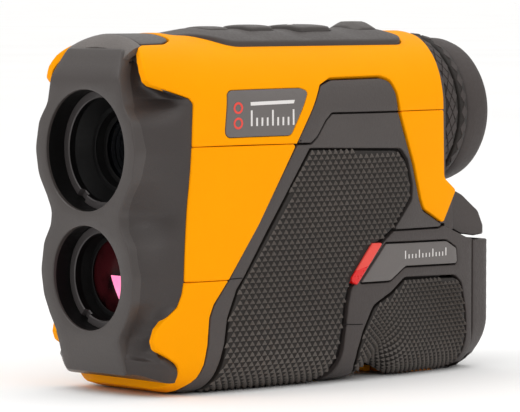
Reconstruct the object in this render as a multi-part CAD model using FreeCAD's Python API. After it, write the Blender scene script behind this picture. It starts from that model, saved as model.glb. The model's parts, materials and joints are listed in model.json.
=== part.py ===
import FreeCAD, Part
import math
import os

# Handheld laser rangefinder, millimetres. +Z is up and the objectives face -Y.
# The origin is under the middle of the object, on the surface it stands on.

front_y = -56.7
rear_y = 56.7
half_width = 22.3
crown_z = 82.1
crown_radius = 26.5
upper_axis_z = 55.6
lower_axis_z = 26.6
eye_axis_z = 62.5
upper_bore_radius = 13.8
lower_bore_radius = 11.7

skin_thickness = 2.2
inlay_depth = 1.2
panel_sink = 0.3
plaque_depth = 0.7
plate_back_y = -52.0
front_wall_y = -49.6

barrel_wall = 1.4
ring_front_y = -51.4
ring_back_y = -49.4

deck_half_width = 12.5
deck_edge_z = 80.2
deck_top_z = 83.6
deck_base_z = 78.0
button_gap = 0.35
button_flange_z = 77.0
board_top_z = 75.2

shell_rear_y = 39.4
eye_barrel_radius = 14.0
diopter_radius = 18.9
eyecup_radius = 17.8
cradle_radius = 19.4
running_clearance = 0.06

cell_radius = 8.5
cell_length = 34.5
cell_z = 16.8
cell_front_y = 13.2

door_front_y = 50.2
door_top_z = 31.2
door_pivot_y = 50.6
door_pivot_z = 4.4
latch_pivot_y = 44.6
latch_pivot_z = 38.4
latch_gap = 0.5
pin_radius = 1.0
knuckle_radius = 1.9
knuckle_half = 6.0
ear_outer = 10.0

thread_radius = 3.2
thread_y = 34.4
thread_depth = 6.0

# Outlines are corners (u, v, corner radius).
side_outline = [
    (-52.0, 0.0, 1.5), (11.5, 0.0, 4.0), (17.3, 5.6, 7.0), (23.5, 0.0, 3.0),
    (56.3, 0.0, 14.0), (56.3, 33.6, 2.5), (54.4, 38.2, 3.0), (49.5, 41.9, 4.0),
    (39.4, 47.6, 1.0), (39.4, 82.3, 3.0), (-49.4, 82.3, 2.5), (-53.3, 75.0, 2.0),
    (-52.2, 8.0, 1.0), (-53.4, 3.5, 1.0),
]
plan_outline = [
    (18.2, -53.6, 0.5), (20.4, -36.0, 40.0), (half_width, 8.0, 90.0), (20.6, 37.0, 40.0),
    (18.0, 57.0, 0.5), (-18.0, 57.0, 0.5), (-20.6, 37.0, 40.0), (-half_width, 8.0, 90.0),
    (-20.4, -36.0, 40.0), (-18.2, -53.6, 0.5),
]
section_outline = [
    (-half_width, 0.0, 8.5), (half_width, 0.0, 8.5), (half_width, 62.0, 24.0),
    (19.6, 74.2, 7.0), (0.0, 84.4, 26.5), (-19.6, 74.2, 7.0), (-half_width, 62.0, 24.0),
]
bezel_flank = [
    (-60.0, 71.6, 0.0), (-60.0, 4.4, 0.0), (-46.8, 4.4, 0.8), (-46.2, 6.8, 1.2),
    (-52.9, 11.0, 1.5), (-52.5, 15.6, 3.0), (-44.6, 22.5, 3.0), (-42.6, 44.0, 60.0),
    (-41.6, 67.9, 2.5), (-53.6, 71.0, 2.0),
]
bezel_tongue = [(-12.1, -60.0, 0.0), (12.1, -60.0, 0.0), (12.1, -38.5, 5.0), (-12.1, -38.5, 5.0)]
upper_seam = [
    (-60.0, 56.5, 0.0), (-5.4, 56.5, 3.0), (1.0, 63.4, 3.0), (60.0, 63.4, 0.0),
    (60.0, 90.0, 0.0), (-60.0, 90.0, 0.0),
]
lower_seam = [
    (-60.0, 26.0, 0.0), (17.0, 26.0, 2.0), (27.0, 35.5, 2.0), (60.0, 35.5, 0.0),
    (60.0, -5.0, 0.0), (-60.0, -5.0, 0.0),
]
panel_outline = [
    (-37.8, 7.0, 3.0), (-36.2, 18.5, 6.0), (-31.0, 26.0, 6.0), (1.2, 71.4, 2.0),
    (22.2, 71.4, 3.5), (24.2, 62.0, 8.0), (31.6, 40.2, 2.0), (38.8, 34.8, 2.0),
    (49.8, 31.6, 0.5), (49.8, -4.0, 0.0), (-42.0, -4.0, 0.0),
]
front_pad_outline = [
    (-34.0, 4.0, 2.0), (-30.9, 12.0, 5.0), (-28.6, 22.5, 5.0), (-5.2, 54.9, 1.5),
    (25.0, 53.6, 2.5), (27.4, 43.6, 3.0), (5.8, 20.0, 6.0), (4.0, 11.0, 4.0),
    (-1.5, -4.0, 0.0), (-38.0, -4.0, 0.0),
]
rear_pad_outline = [
    (26.0, 22.9, 2.0), (43.9, 22.5, 3.0), (46.6, 12.0, 8.0), (44.0, 2.0, 4.0), (40.0, -4.0, 0.0),
    (6.8, -4.0, 0.0), (11.4, 9.0, 4.0), (12.6, 15.0, 4.0), (21.0, 19.4, 5.0),
]
nameplate_outline = [
    (18.4, 31.9, 0.5), (39.6, 31.6, 2.0), (43.2, 29.6, 2.0), (43.2, 25.9, 1.0),
    (25.6, 25.8, 2.0), (20.4, 22.9, 2.0), (10.0, 23.0, 0.3),
]
accent_outline = [(13.6, 32.0, 0.4), (16.7, 32.0, 0.4), (8.6, 23.0, 0.4), (6.0, 23.6, 0.6)]
plaque_outline = [
    (-30.9, 59.2, 1.0), (-30.4, 68.7, 1.4), (-6.3, 69.2, 1.4), (-11.9, 58.7, 1.4),
]
latch_outline = [
    (40.0, 36.0, 0.6), (43.3, 42.8, 1.0), (49.2, 41.5, 3.0), (54.2, 37.9, 2.5), (56.3, 33.6, 1.0),
    (56.3, 31.8, 0.3), (48.4, 32.5, 3.0),
]
latch_hollow = [
    (42.2, 36.7, 0.5), (44.3, 41.0, 0.5), (48.9, 39.8, 1.0), (52.9, 37.0, 1.0), (54.6, 33.7, 0.4),
    (48.6, 34.2, 1.0),
]
yellow_tail = [
    (42.9, 60.0, 0.0), (42.9, 43.9, 0.6), (38.9, 35.4, 0.0), (60.0, 35.4, 0.0), (60.0, 60.0, 0.0),
]
keypad_outline = [
    (-5.2, -34.8, 2.5), (-5.2, -31.0, 6.0), (-12.5, -24.0, 8.0), (-12.5, 33.4, 4.5),
    (12.5, 33.4, 4.5), (12.5, -24.0, 8.0), (5.2, -31.0, 6.0), (5.2, -34.8, 2.5),
]
# Button name: centre along Y, length along Y, width along X, top height, travel.
buttons = {
    "power_button": (-19.8, 7.6, 9.0, 83.4, 0.6),
    "up_button": (-6.9, 7.6, 11.0, 83.7, 0.6),
    "down_button": (9.3, 10.3, 13.0, 83.7, 0.6),
    "fire_button": (27.4, 8.4, 11.0, 84.4, 0.8),
}


def vector(x, y, z):
    return FreeCAD.Vector(x, y, z)


def corner_points(before, here, after, radius):
    inward = (before[0] - here[0], before[1] - here[1])
    outward = (after[0] - here[0], after[1] - here[1])
    length_in = math.hypot(*inward)
    length_out = math.hypot(*outward)
    unit_in = (inward[0] / length_in, inward[1] / length_in)
    unit_out = (outward[0] / length_out, outward[1] / length_out)
    cosine = unit_in[0] * unit_out[0] + unit_in[1] * unit_out[1]
    half_angle = math.acos(max(-1.0, min(1.0, cosine))) / 2
    reach = min(radius / math.tan(half_angle), 0.49 * length_in, 0.49 * length_out)
    fitted = reach * math.tan(half_angle)
    middle = (unit_in[0] + unit_out[0], unit_in[1] + unit_out[1])
    middle_length = math.hypot(*middle)
    depth = fitted / math.sin(half_angle) - fitted
    start = (here[0] + unit_in[0] * reach, here[1] + unit_in[1] * reach)
    end = (here[0] + unit_out[0] * reach, here[1] + unit_out[1] * reach)
    crest = (here[0] + middle[0] / middle_length * depth, here[1] + middle[1] / middle_length * depth)
    return start, crest, end


def outline_face(corners, place):
    edges = []
    pen = None
    first = None
    count = len(corners)
    for index in range(count):
        before = corners[index - 1]
        here = corners[index]
        after = corners[(index + 1) % count]
        if here[2] > 0:
            start, crest, end = corner_points(before, here, after, here[2])
        else:
            start = end = (here[0], here[1])
        if pen is not None:
            edges.append(Part.makeLine(place(*pen), place(*start)))
        else:
            first = start
        if here[2] > 0:
            edges.append(Part.Arc(place(*start), place(*crest), place(*end)).toShape())
        pen = end
    edges.append(Part.makeLine(place(*pen), place(*first)))
    return Part.Face(Part.Wire(edges))


def inset(corners, distance):
    area = sum(a[0] * b[1] - b[0] * a[1] for a, b in zip(corners, corners[1:] + corners[:1]))
    turn = 1 if area > 0 else -1
    count = len(corners)
    moved = []
    for index in range(count):
        before = corners[index - 1]
        here = corners[index]
        after = corners[(index + 1) % count]
        run_in = (here[0] - before[0], here[1] - before[1])
        run_out = (after[0] - here[0], after[1] - here[1])
        length_in = math.hypot(*run_in)
        length_out = math.hypot(*run_out)
        normal_in = (-turn * run_in[1] / length_in, turn * run_in[0] / length_in)
        normal_out = (-turn * run_out[1] / length_out, turn * run_out[0] / length_out)
        share = 1 + normal_in[0] * normal_out[0] + normal_in[1] * normal_out[1]
        step = (
            distance * (normal_in[0] + normal_out[0]) / share,
            distance * (normal_in[1] + normal_out[1]) / share,
        )
        bend = turn * (run_in[0] * run_out[1] - run_in[1] * run_out[0])
        radius = here[2] - distance if bend > 0 else here[2] + distance
        moved.append((here[0] + step[0], here[1] + step[1], max(radius, 0.0)))
    return moved


def prism_x(corners, low, high):
    face = outline_face(corners, lambda y, z: vector(low, y, z))
    return face.extrude(vector(high - low, 0, 0))


def prism_y(corners, low, high):
    face = outline_face(corners, lambda x, z: vector(x, low, z))
    return face.extrude(vector(0, high - low, 0))


def prism_z(corners, low, high):
    face = outline_face(corners, lambda x, y: vector(x, y, low))
    return face.extrude(vector(0, 0, high - low))


def box(x_range, y_range, z_range):
    size = (x_range[1] - x_range[0], y_range[1] - y_range[0], z_range[1] - z_range[0])
    return Part.makeBox(*size, vector(x_range[0], y_range[0], z_range[0]))


def rod_y(radius, z, low, high, x=0.0):
    return Part.makeCylinder(radius, high - low, vector(x, low, z), vector(0, 1, 0))


def rod_x(radius, y, z, low, high):
    return Part.makeCylinder(radius, high - low, vector(low, y, z), vector(1, 0, 0))


def tube_y(outer, inner, z, low, high):
    return rod_y(outer, z, low, high).cut(rod_y(inner, z, low - 1, high + 1))


def lens(radius, z, front, back, bulge):
    disc = rod_y(radius, z, front - bulge, back + bulge)
    sphere_radius = (radius ** 2 + bulge ** 2) / (2 * bulge)
    front_ball = Part.makeSphere(sphere_radius, vector(0, front - bulge + sphere_radius, z))
    back_ball = Part.makeSphere(sphere_radius, vector(0, back + bulge - sphere_radius, z))
    return disc.common(front_ball).common(back_ball)


def body(depth):
    solid = prism_x(inset(side_outline, depth), -30, 30)
    solid = solid.common(prism_z(inset(plan_outline, depth), -10, 100))
    solid = solid.common(prism_y(inset(section_outline, depth), -70, 70))
    cradle = rod_y(cradle_radius + depth, eye_axis_z, shell_rear_y - depth, 70)
    return solid.cut(cradle)


def export(name, shape):
    shape = shape.removeSplitter()
    shape.exportStep("parts/" + name + ".step")


def front_plate():
    upper = rod_y(17.5, upper_axis_z, front_y, plate_back_y)
    lower = rod_y(15.8, lower_axis_z, front_y, plate_back_y)
    column = [(-11.4, 72.3, 0.0), (11.4, 72.3, 0.0), (12.6, 4.3, 0.0), (-12.6, 4.3, 0.0)]
    cap = [(-11.7, 72.3, 0.0), (-9.2, 78.8, 2.0), (9.2, 78.8, 2.0), (11.7, 72.3, 0.0)]
    plate = upper.fuse([lower, prism_y(column, front_y, plate_back_y), prism_y(cap, front_y, plate_back_y)])
    lean = [
        (front_y, 12.7, 0.0), (front_y, 72.3, 0.0), (-53.5, 79.5, 0.0), (-45.0, 79.5, 0.0),
        (-45.0, 4.0, 0.0), (-53.9, 4.0, 0.0),
    ]
    return plate.common(prism_x(lean, -30, 30))


def bores():
    upper = rod_y(upper_bore_radius, upper_axis_z, front_y - 1, front_wall_y + 1)
    lower = rod_y(lower_bore_radius, lower_axis_z, front_y - 1, front_wall_y + 1)
    return upper.fuse(lower)


def bezel_region():
    tongue = prism_z(bezel_tongue, 74.0, 90.0)
    front_wall = box((-14.5, 14.5), (-60, front_wall_y), (4.4, 78.0))
    return prism_x(bezel_flank, -30, 30).fuse([tongue, front_wall])


def casings():
    outer = body(0.0)
    cavity = body(skin_thickness).common(box((-30, 30), (front_wall_y, 70), (-5, 100)))
    skin = outer.cut(cavity)
    region = bezel_region()
    bezel = skin.common(region).fuse(front_plate()).cut(bores())
    export("front_bezel", bezel)

    sunk = outer.cut(body(inlay_depth))
    inlay = prism_x(panel_outline, -30, 30)
    plaque_inlay = prism_x(plaque_outline, -30, 30)
    mid_strip = box((-8.0, 8.0), (-60, 60), (-5, 20))
    rest = skin.cut(region).cut(front_plate())
    rest = rest.cut(sunk.common(inlay.cut(mid_strip)))
    rest = rest.cut(outer.cut(body(plaque_depth)).common(plaque_inlay))
    rest = rest.cut(prism_z(keypad_outline, 70, 90))
    rest = rest.cut(rod_y(eye_barrel_radius + 0.3, eye_axis_z, shell_rear_y - 5, shell_rear_y + 5))
    rest = rest.cut(box((-30, 30), (door_front_y - 0.3, 70), (-5, door_top_z + 0.3)))
    rest = rest.cut(prism_x(inset(latch_outline, -latch_gap), -30, 30)).cut(prism_x(yellow_tail, -30, 30))
    rest = rest.cut(rod_x(knuckle_radius + 0.6, door_pivot_y, door_pivot_z, -30, 30))

    upper_region = prism_x(upper_seam, -30, 30)
    lower_region = prism_x(lower_seam, -30, 30)
    rear_region = box((-30, 30), (20.0, 70), (-5, 100))
    export("top_cover", rest.common(upper_region))
    export("middle_shell", rest.cut(upper_region).cut(lower_region))
    lower = rest.common(lower_region)
    foot_hole = rod_z(thread_radius + 1.6, 0, thread_y, -1, 12)
    export("bottom_cover", lower.cut(rear_region))
    ears = []
    for side in (-1, 1):
        near = side * (knuckle_half + 0.3)
        far = side * ear_outer
        low, high = min(near, far), max(near, far)
        ear = rod_x(knuckle_radius, door_pivot_y, door_pivot_z, low, high)
        ear = ear.fuse(box((low, high), (45.0, door_pivot_y), (door_pivot_z - 1.4, door_pivot_z + 1.9)))
        ears.append(ear)
    lugs = []
    for side in (-1, 1):
        low = min(side * 7.4, side * 9.6)
        lug = box((low, low + 2.2), (latch_pivot_y - 1.8, latch_pivot_y + 1.8), (28.0, latch_pivot_z))
        lugs.append(lug.fuse(rod_x(1.8, latch_pivot_y, latch_pivot_z, low, low + 2.2)))
    deck = body(inlay_depth + 0.1).common(box((-30, 30), (shell_rear_y - 1, 49.6), (28.0, 30.0)))
    rear = lower.common(rear_region).fuse(ears + lugs + [deck])
    rear = rear.cut(rod_x(pin_radius + 0.02, latch_pivot_y, latch_pivot_z, -12, 12))
    rear = rear.cut(rod_x(pin_radius + 0.02, door_pivot_y, door_pivot_z, -12, 12))
    export("rear_housing", rear.cut(foot_hole).cut(foot_recess()))

    front_pad = prism_x(front_pad_outline, -30, 30)
    rear_pad = prism_x(rear_pad_outline, -30, 30)
    nameplate = prism_x(nameplate_outline, -30, 30)
    accent = prism_x(accent_outline, -30, 30)
    front_pad = front_pad.cut(accent)
    in_pads = front_pad.fuse([rear_pad, nameplate, accent])
    inlay = inlay.cut(mid_strip)
    panel = body(panel_sink).cut(body(inlay_depth)).common(inlay).cut(in_pads)
    panel = panel.cut(box((-30, 30), (door_front_y - 0.3, 70), (-5, 60)))
    panel = panel.cut(rod_x(knuckle_radius + 0.6, door_pivot_y, door_pivot_z, -30, 30))
    nameplates = []
    accents = []
    plaques = []
    for side, low, high in (("right", 0.0, 30.0), ("left", -30.0, 0.0)):
        half = box((low, high), (-60, 60), (-5, 90))
        export("side_panel_" + side, panel.common(half))
        export("front_grip_pad_" + side, sunk.common(front_pad).cut(mid_strip).common(half))
        export("rear_grip_pad_" + side, sunk.common(rear_pad).cut(mid_strip).common(half))
        nameplates.append(sunk.common(nameplate.cut(accent)).common(half))
        accents.append(sunk.common(accent).common(half))
        plaques.append(outer.cut(body(plaque_depth)).common(plaque_inlay).common(half))
    export("nameplates", Part.makeCompound(nameplates))
    export("accent_strips", Part.makeCompound(accents))
    export("side_plaques", Part.makeCompound(plaques))


def rod_z(radius, x, y, low, high):
    return Part.makeCylinder(radius, high - low, vector(x, y, low), vector(0, 0, 1))


def foot_recess():
    return box((-8.0, 8.0), (27.0, 42.0), (-1.0, 1.2))


def base_pieces():
    foot = box((-8.0, 8.0), (27.0, 42.0), (0.0, 1.2))
    export("base_foot", foot.cut(rod_z(thread_radius + 1.6, 0, thread_y, -1, 3)))
    insert = rod_z(thread_radius + 1.6, 0, thread_y, 0.0, thread_depth + 0.4)
    export("tripod_insert", insert.cut(rod_z(thread_radius, 0, thread_y, -1, thread_depth)))


def keypad():
    deck = prism_z(keypad_outline, deck_base_z, deck_top_z)
    crown = [
        (-deck_half_width - 1, deck_base_z - 1, 0.0), (deck_half_width + 1, deck_base_z - 1, 0.0),
        (deck_half_width + 1, deck_edge_z - 0.3, 0.0), (0.0, deck_top_z + 1.6, 30.0),
        (-deck_half_width - 1, deck_edge_z - 0.3, 0.0),
    ]
    deck = deck.common(prism_y(crown, -60, 60))
    slope = [
        (-36.0, 76.0, 0.0), (-36.0, 81.6, 0.0), (-27.0, 83.6, 20.0), (30.5, 83.6, 6.0), (35.0, 81.0, 0.0),
        (35.0, 76.0, 0.0),
    ]
    deck = deck.common(prism_x(slope, -20, 20))
    domes = []
    for name, (centre, length, width, top, travel) in buttons.items():
        half_x = width / 2
        half_y = length / 2
        hole = box(
            (-half_x - button_gap, half_x + button_gap),
            (centre - half_y - button_gap, centre + half_y + button_gap),
            (70, 90),
        )
        deck = deck.cut(hole)
        shaft = box((-half_x, half_x), (centre - half_y, centre + half_y), (button_flange_z, top))
        rounding = [edge for edge in shaft.Edges if edge.BoundBox.ZMin > top - 0.1]
        shaft = shaft.makeFillet(0.5, rounding)
        flange = box(
            (-half_x - 1.0, half_x + 1.0), (centre - half_y - 1.0, centre + half_y + 1.0),
            (button_flange_z, deck_base_z - 0.3),
        )
        stem = rod_z(1.5, 0, centre, button_flange_z - 0.25, button_flange_z)
        export(name, shaft.fuse([flange, stem]))
        domes.append(rod_z(2.6, 0, centre, board_top_z, board_top_z + 0.7))
    export("keypad_panel", deck)
    export("keypad_domes", Part.makeCompound(domes))
    export("key_board", box((-10.8, 10.8), (-27.0, 32.0), (board_top_z - 1.2, board_top_z)))


def objective(name, axis_z, bore, back_y, clear_radius):
    barrel = tube_y(bore + barrel_wall, bore, axis_z, front_wall_y, -42.0)
    barrel = barrel.fuse(tube_y(bore + barrel_wall, bore - 2.0, axis_z, -42.0, back_y))
    export(name + "_barrel", barrel)
    ring = tube_y(bore - 0.02, clear_radius, axis_z, ring_front_y, ring_back_y)
    for side in (-1, 1):
        slot = box((side * (clear_radius + 1.3) - 1.5, side * (clear_radius + 1.3) + 1.5),
                   (ring_front_y - 1, ring_front_y + 0.9), (axis_z - 0.6, axis_z + 0.6))
        ring = ring.cut(slot)
    export(name + "_retaining_ring", ring)
    export(name + "_lens", lens(bore - 0.1, axis_z, -47.2, -44.4, 1.8))


def lens_mount():
    outline = inset(section_outline, skin_thickness + 0.4)
    plate = prism_y(outline, -41.8, -39.8).common(body(skin_thickness + 0.4))
    for axis_z, bore in ((upper_axis_z, upper_bore_radius), (lower_axis_z, lower_bore_radius)):
        plate = plate.cut(rod_y(bore + barrel_wall + 0.05, axis_z, -60, 0))
    screws = []
    for x in (-14.2, 14.2):
        for z in (12.0, 41.0):
            plate = plate.cut(rod_y(0.9, z, -60, 0, x))
            head = rod_y(1.6, z, -39.8, -38.8, x)
            screws.append(head.fuse(rod_y(0.85, z, -41.8, -39.8, x)))
    export("lens_mount", plate)
    export("lens_mount_screws", Part.makeCompound(screws))


def electronics():
    emitter = rod_y(2.8, lower_axis_z, -17.0, -15.6).fuse(rod_y(2.2, lower_axis_z, -20.2, -17.0))
    export("laser_diode", emitter)
    export("laser_board", box((-9.0, 9.0), (-15.6, -14.2), (lower_axis_z - 10, lower_axis_z + 9)))
    export("receiver_prism", box((-9.0, 9.0), (-9.0, 9.0), (upper_axis_z - 9, upper_axis_z + 9)))
    export("erecting_prism", box((-9.0, 9.0), (10.5, 25.0), (upper_axis_z - 6, upper_axis_z + 15)))
    detector = rod_z(4.1, 0, 0.0, upper_axis_z - 13.0, upper_axis_z - 9.0)
    export("receiver_detector", detector)
    export("receiver_board", box((-8.0, 8.0), (-9.0, 9.0), (upper_axis_z - 14.4, upper_axis_z - 13.0)))
    export("display_module", box((-7.0, 7.0), (26.5, 28.5), (eye_axis_z - 6.0, eye_axis_z + 6.0)))
    export("main_board", box((-0.7, 0.7), (-13.6, 9.8), (5.0, 40.6)))
    export("tilt_sensor", box((-2.5, 2.5), (-19.5, -14.5), (board_top_z - 2.6, board_top_z - 1.2)))


def eyepiece():
    barrel = tube_y(eye_barrel_radius, 11.5, eye_axis_z, 33.5, 53.2)
    groove = tube_y(eye_barrel_radius + 1, eye_barrel_radius - 0.7, eye_axis_z, 40.7, 42.1)
    export("eyepiece_barrel", barrel.cut(groove))
    seal = Part.makeTorus(eye_barrel_radius - 0.05, 0.6, vector(0, 41.4, eye_axis_z), vector(0, 1, 0))
    seal = seal.cut(tube_y(20, eye_barrel_radius - 0.05, eye_axis_z, 38, 45))
    export("eyepiece_seal", seal)
    inner = eye_barrel_radius + running_clearance
    ring = tube_y(diopter_radius, inner, eye_axis_z, 39.9, 48.7)
    export("diopter_ring", ring.cut(rod_y(16.3, eye_axis_z, 43.2, 49.0)))
    export("eyecup_sleeve", tube_y(16.0, inner, eye_axis_z, 43.6, 50.4))
    profile = Part.Wire([
        Part.makeLine(vector(14.4, 50.4, eye_axis_z), vector(16.0, 50.4, eye_axis_z)),
        Part.makeLine(vector(16.0, 50.4, eye_axis_z), vector(16.0, 49.1, eye_axis_z)),
        Part.makeLine(vector(16.0, 49.1, eye_axis_z), vector(eyecup_radius, 49.1, eye_axis_z)),
        Part.makeLine(vector(eyecup_radius, 49.1, eye_axis_z), vector(eyecup_radius, 54.7, eye_axis_z)),
        Part.Arc(
            vector(eyecup_radius, 54.7, eye_axis_z), vector(17.2, 56.1, eye_axis_z),
            vector(15.8, rear_y, eye_axis_z),
        ).toShape(),
        Part.makeLine(vector(15.8, rear_y, eye_axis_z), vector(13.6, rear_y, eye_axis_z)),
        Part.makeLine(vector(13.6, rear_y, eye_axis_z), vector(11.2, 54.0, eye_axis_z)),
        Part.makeLine(vector(11.2, 54.0, eye_axis_z), vector(14.4, 53.6, eye_axis_z)),
        Part.makeLine(vector(14.4, 53.6, eye_axis_z), vector(14.4, 50.4, eye_axis_z)),
    ])
    cup = Part.Face(profile).revolve(vector(0, 0, eye_axis_z), vector(0, 1, 0), 360)
    export("eyecup", cup)
    export("eyepiece_lens", lens(11.45, eye_axis_z, 48.0, 50.0, 0.9))
    export("eyepiece_retainer", tube_y(11.48, 9.8, eye_axis_z, 51.0, 52.6))
    export("field_lens", lens(11.45, eye_axis_z, 36.0, 37.6, 0.8))


def battery_group():
    cell_back_y = cell_front_y + cell_length
    cell = rod_y(cell_radius, cell_z, cell_front_y + 1.0, cell_back_y)
    export("battery_cell", cell.fuse(rod_y(3.2, cell_z, cell_front_y, cell_front_y + 1.0)))
    holder = tube_y(9.8, 8.8, cell_z, 11.6, 48.4).fuse(rod_y(9.8, cell_z, 10.6, 11.6))
    export("battery_holder", holder)
    export("battery_contact", rod_y(5.0, cell_z, 11.65, 13.15))


def door_group():
    outer = body(0.0)
    region = box((-30, 30), (door_front_y, 70), (1.0, door_top_z))
    door = outer.cut(body(skin_thickness)).common(region)
    ear_room = box((-ear_outer - 0.3, ear_outer + 0.3), (40, door_pivot_y + 2.3), (0, door_pivot_z + 2.3))
    door = door.cut(ear_room)
    knuckle = rod_x(knuckle_radius, door_pivot_y, door_pivot_z, -knuckle_half, knuckle_half)
    web = box((-knuckle_half, knuckle_half), (door_pivot_y, 53.6), (door_pivot_z, door_pivot_z + 2.0))
    door = door.fuse(knuckle.fuse(web).common(body(0.0)))
    door = door.cut(rod_x(pin_radius + 0.05, door_pivot_y, door_pivot_z, -20, 20))
    export("battery_door", door)
    pin_reach = ear_outer - 0.1
    export("door_hinge_pin", rod_x(pin_radius, door_pivot_y, door_pivot_z, -pin_reach, pin_reach))
    inside = body(skin_thickness + 0.02)
    export("door_contact_plate", rod_y(6.0, cell_z, 53.0, 54.0).common(inside))
    spring = Part.makeCone(5.0, 3.0, 5.0, vector(0, 53.0, cell_z), vector(0, -1, 0))
    spring = spring.cut(Part.makeCone(4.2, 2.2, 5.0, vector(0, 53.0, cell_z), vector(0, -1, 0)))
    export("door_contact_spring", spring)
    seal = tube_y(9.8, 8.4, cell_z, 48.75, 54.05)
    export("door_seal", seal.common(inside))


def latch_group():
    lever = prism_x(latch_outline, -30, 30).common(prism_z(plan_outline, -10, 100))
    lever = lever.cut(prism_x(latch_hollow, -16.4, 16.4))
    for low in (-10.2, 7.0):
        room = box((low, low + 3.2), (latch_pivot_y - 2.6, latch_pivot_y + 2.6), (28.0, latch_pivot_z + 2.4))
        lever = lever.cut(room)
    for low in (-6.8, 3.4):
        hub = rod_x(2.0, latch_pivot_y, latch_pivot_z, low, low + 3.4)
        rib = box((low, low + 3.4), (latch_pivot_y - 1.0, latch_pivot_y + 1.0), (latch_pivot_z - 4.0, latch_pivot_z))
        lever = lever.fuse(hub.fuse(rib).common(prism_x(inset(latch_outline, 0.4), -30, 30)))
    lever = lever.cut(rod_x(pin_radius + 0.05, latch_pivot_y, latch_pivot_z, -30, 30))
    export("door_latch", lever)
    export("latch_pin", rod_x(pin_radius, latch_pivot_y, latch_pivot_z, -11.0, 11.0))
    coil = rod_x(1.4, latch_pivot_y, latch_pivot_z, -2.8, 2.8)
    export("latch_spring", coil.cut(rod_x(pin_radius + 0.05, latch_pivot_y, latch_pivot_z, -5, 5)))


os.makedirs("parts", exist_ok=True)
casings()
base_pieces()
keypad()
objective("receiver", upper_axis_z, upper_bore_radius, -14.0, 11.1)
objective("laser", lower_axis_z, lower_bore_radius, -22.0, 9.4)
lens_mount()
electronics()
eyepiece()
battery_group()
door_group()
latch_group()
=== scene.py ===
import json
from bisect import bisect
from math import acos, asin, atan2, cos, exp, pi, radians, sin, tan

import bmesh
import bpy
import numpy as np
from mathutils import Matrix, Vector
from mathutils.geometry import delaunay_2d_cdt


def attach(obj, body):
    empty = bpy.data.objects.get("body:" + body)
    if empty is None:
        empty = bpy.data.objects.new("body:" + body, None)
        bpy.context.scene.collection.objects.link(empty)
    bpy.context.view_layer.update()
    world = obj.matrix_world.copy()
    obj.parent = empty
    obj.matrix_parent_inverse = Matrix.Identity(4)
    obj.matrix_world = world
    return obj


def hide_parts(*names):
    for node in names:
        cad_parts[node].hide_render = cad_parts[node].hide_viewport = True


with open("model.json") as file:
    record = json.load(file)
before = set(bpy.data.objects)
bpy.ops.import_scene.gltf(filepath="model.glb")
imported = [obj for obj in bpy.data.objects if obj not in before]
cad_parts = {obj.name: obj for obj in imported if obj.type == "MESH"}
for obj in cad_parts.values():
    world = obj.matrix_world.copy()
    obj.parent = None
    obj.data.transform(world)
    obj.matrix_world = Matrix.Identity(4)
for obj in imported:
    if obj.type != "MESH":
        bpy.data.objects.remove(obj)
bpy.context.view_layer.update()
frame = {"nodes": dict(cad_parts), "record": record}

# Laser rangefinder. Shapes are written in millimetres and become metres in the meshes.
# +Z is up, the objectives face -Y, and the right side is +X.
mm = 0.001
scene = bpy.context.scene


# small maths helpers

def clamp(value, low=0.0, high=1.0):
    return max(low, min(high, value))


def ease(value, low, high):
    t = clamp((value - low) / (high - low))
    return t * t * (3 - 2 * t)


def hump(value, middle, width):
    return exp(-((value - middle) / width) ** 2)


def along(value, stations):
    keys = [s[0] for s in stations]
    i = min(max(bisect(keys, value) - 1, 0), len(keys) - 2)
    t = clamp((value - keys[i]) / (keys[i + 1] - keys[i]))
    before, after = stations[max(i - 1, 0)], stations[min(i + 2, len(keys) - 1)]
    result = []
    for p0, p1, p2, p3 in zip(before[1:], stations[i][1:], stations[i + 1][1:], after[1:]):
        bend = t * (2 * p0 - 5 * p1 + 4 * p2 - p3 + t * (3 * p1 - 3 * p2 + p3 - p0))
        result.append(p1 + 0.5 * t * (p2 - p0 + bend))
    return result


# materials

def nodeTree(name):
    material = bpy.data.materials.new(name)
    material.use_nodes = True
    tree = material.node_tree
    shader = tree.nodes["Principled BSDF"]
    coords = tree.nodes.new("ShaderNodeTexCoord")
    return material, tree, shader, coords


def noiseNode(tree, coords, scale, detail=3.0, roughness=0.5):
    noise = tree.nodes.new("ShaderNodeTexNoise")
    noise.inputs["Scale"].default_value = scale
    noise.inputs["Detail"].default_value = detail
    noise.inputs["Roughness"].default_value = roughness
    tree.links.new(coords.outputs["Object"], noise.inputs["Vector"])
    return noise


def rampNode(tree, source, stops):
    ramp = tree.nodes.new("ShaderNodeValToRGB")
    for i, (place, colour) in enumerate(stops):
        stop = ramp.color_ramp.elements[i] if i < 2 else ramp.color_ramp.elements.new(place)
        stop.position = place
        stop.color = colour
    tree.links.new(source, ramp.inputs["Fac"])
    return ramp


def linear(rgb):
    return [((c / 255 + 0.055) / 1.055) ** 2.4 if c > 10 else c / 255 / 12.92 for c in rgb] + [1.0]


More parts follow.
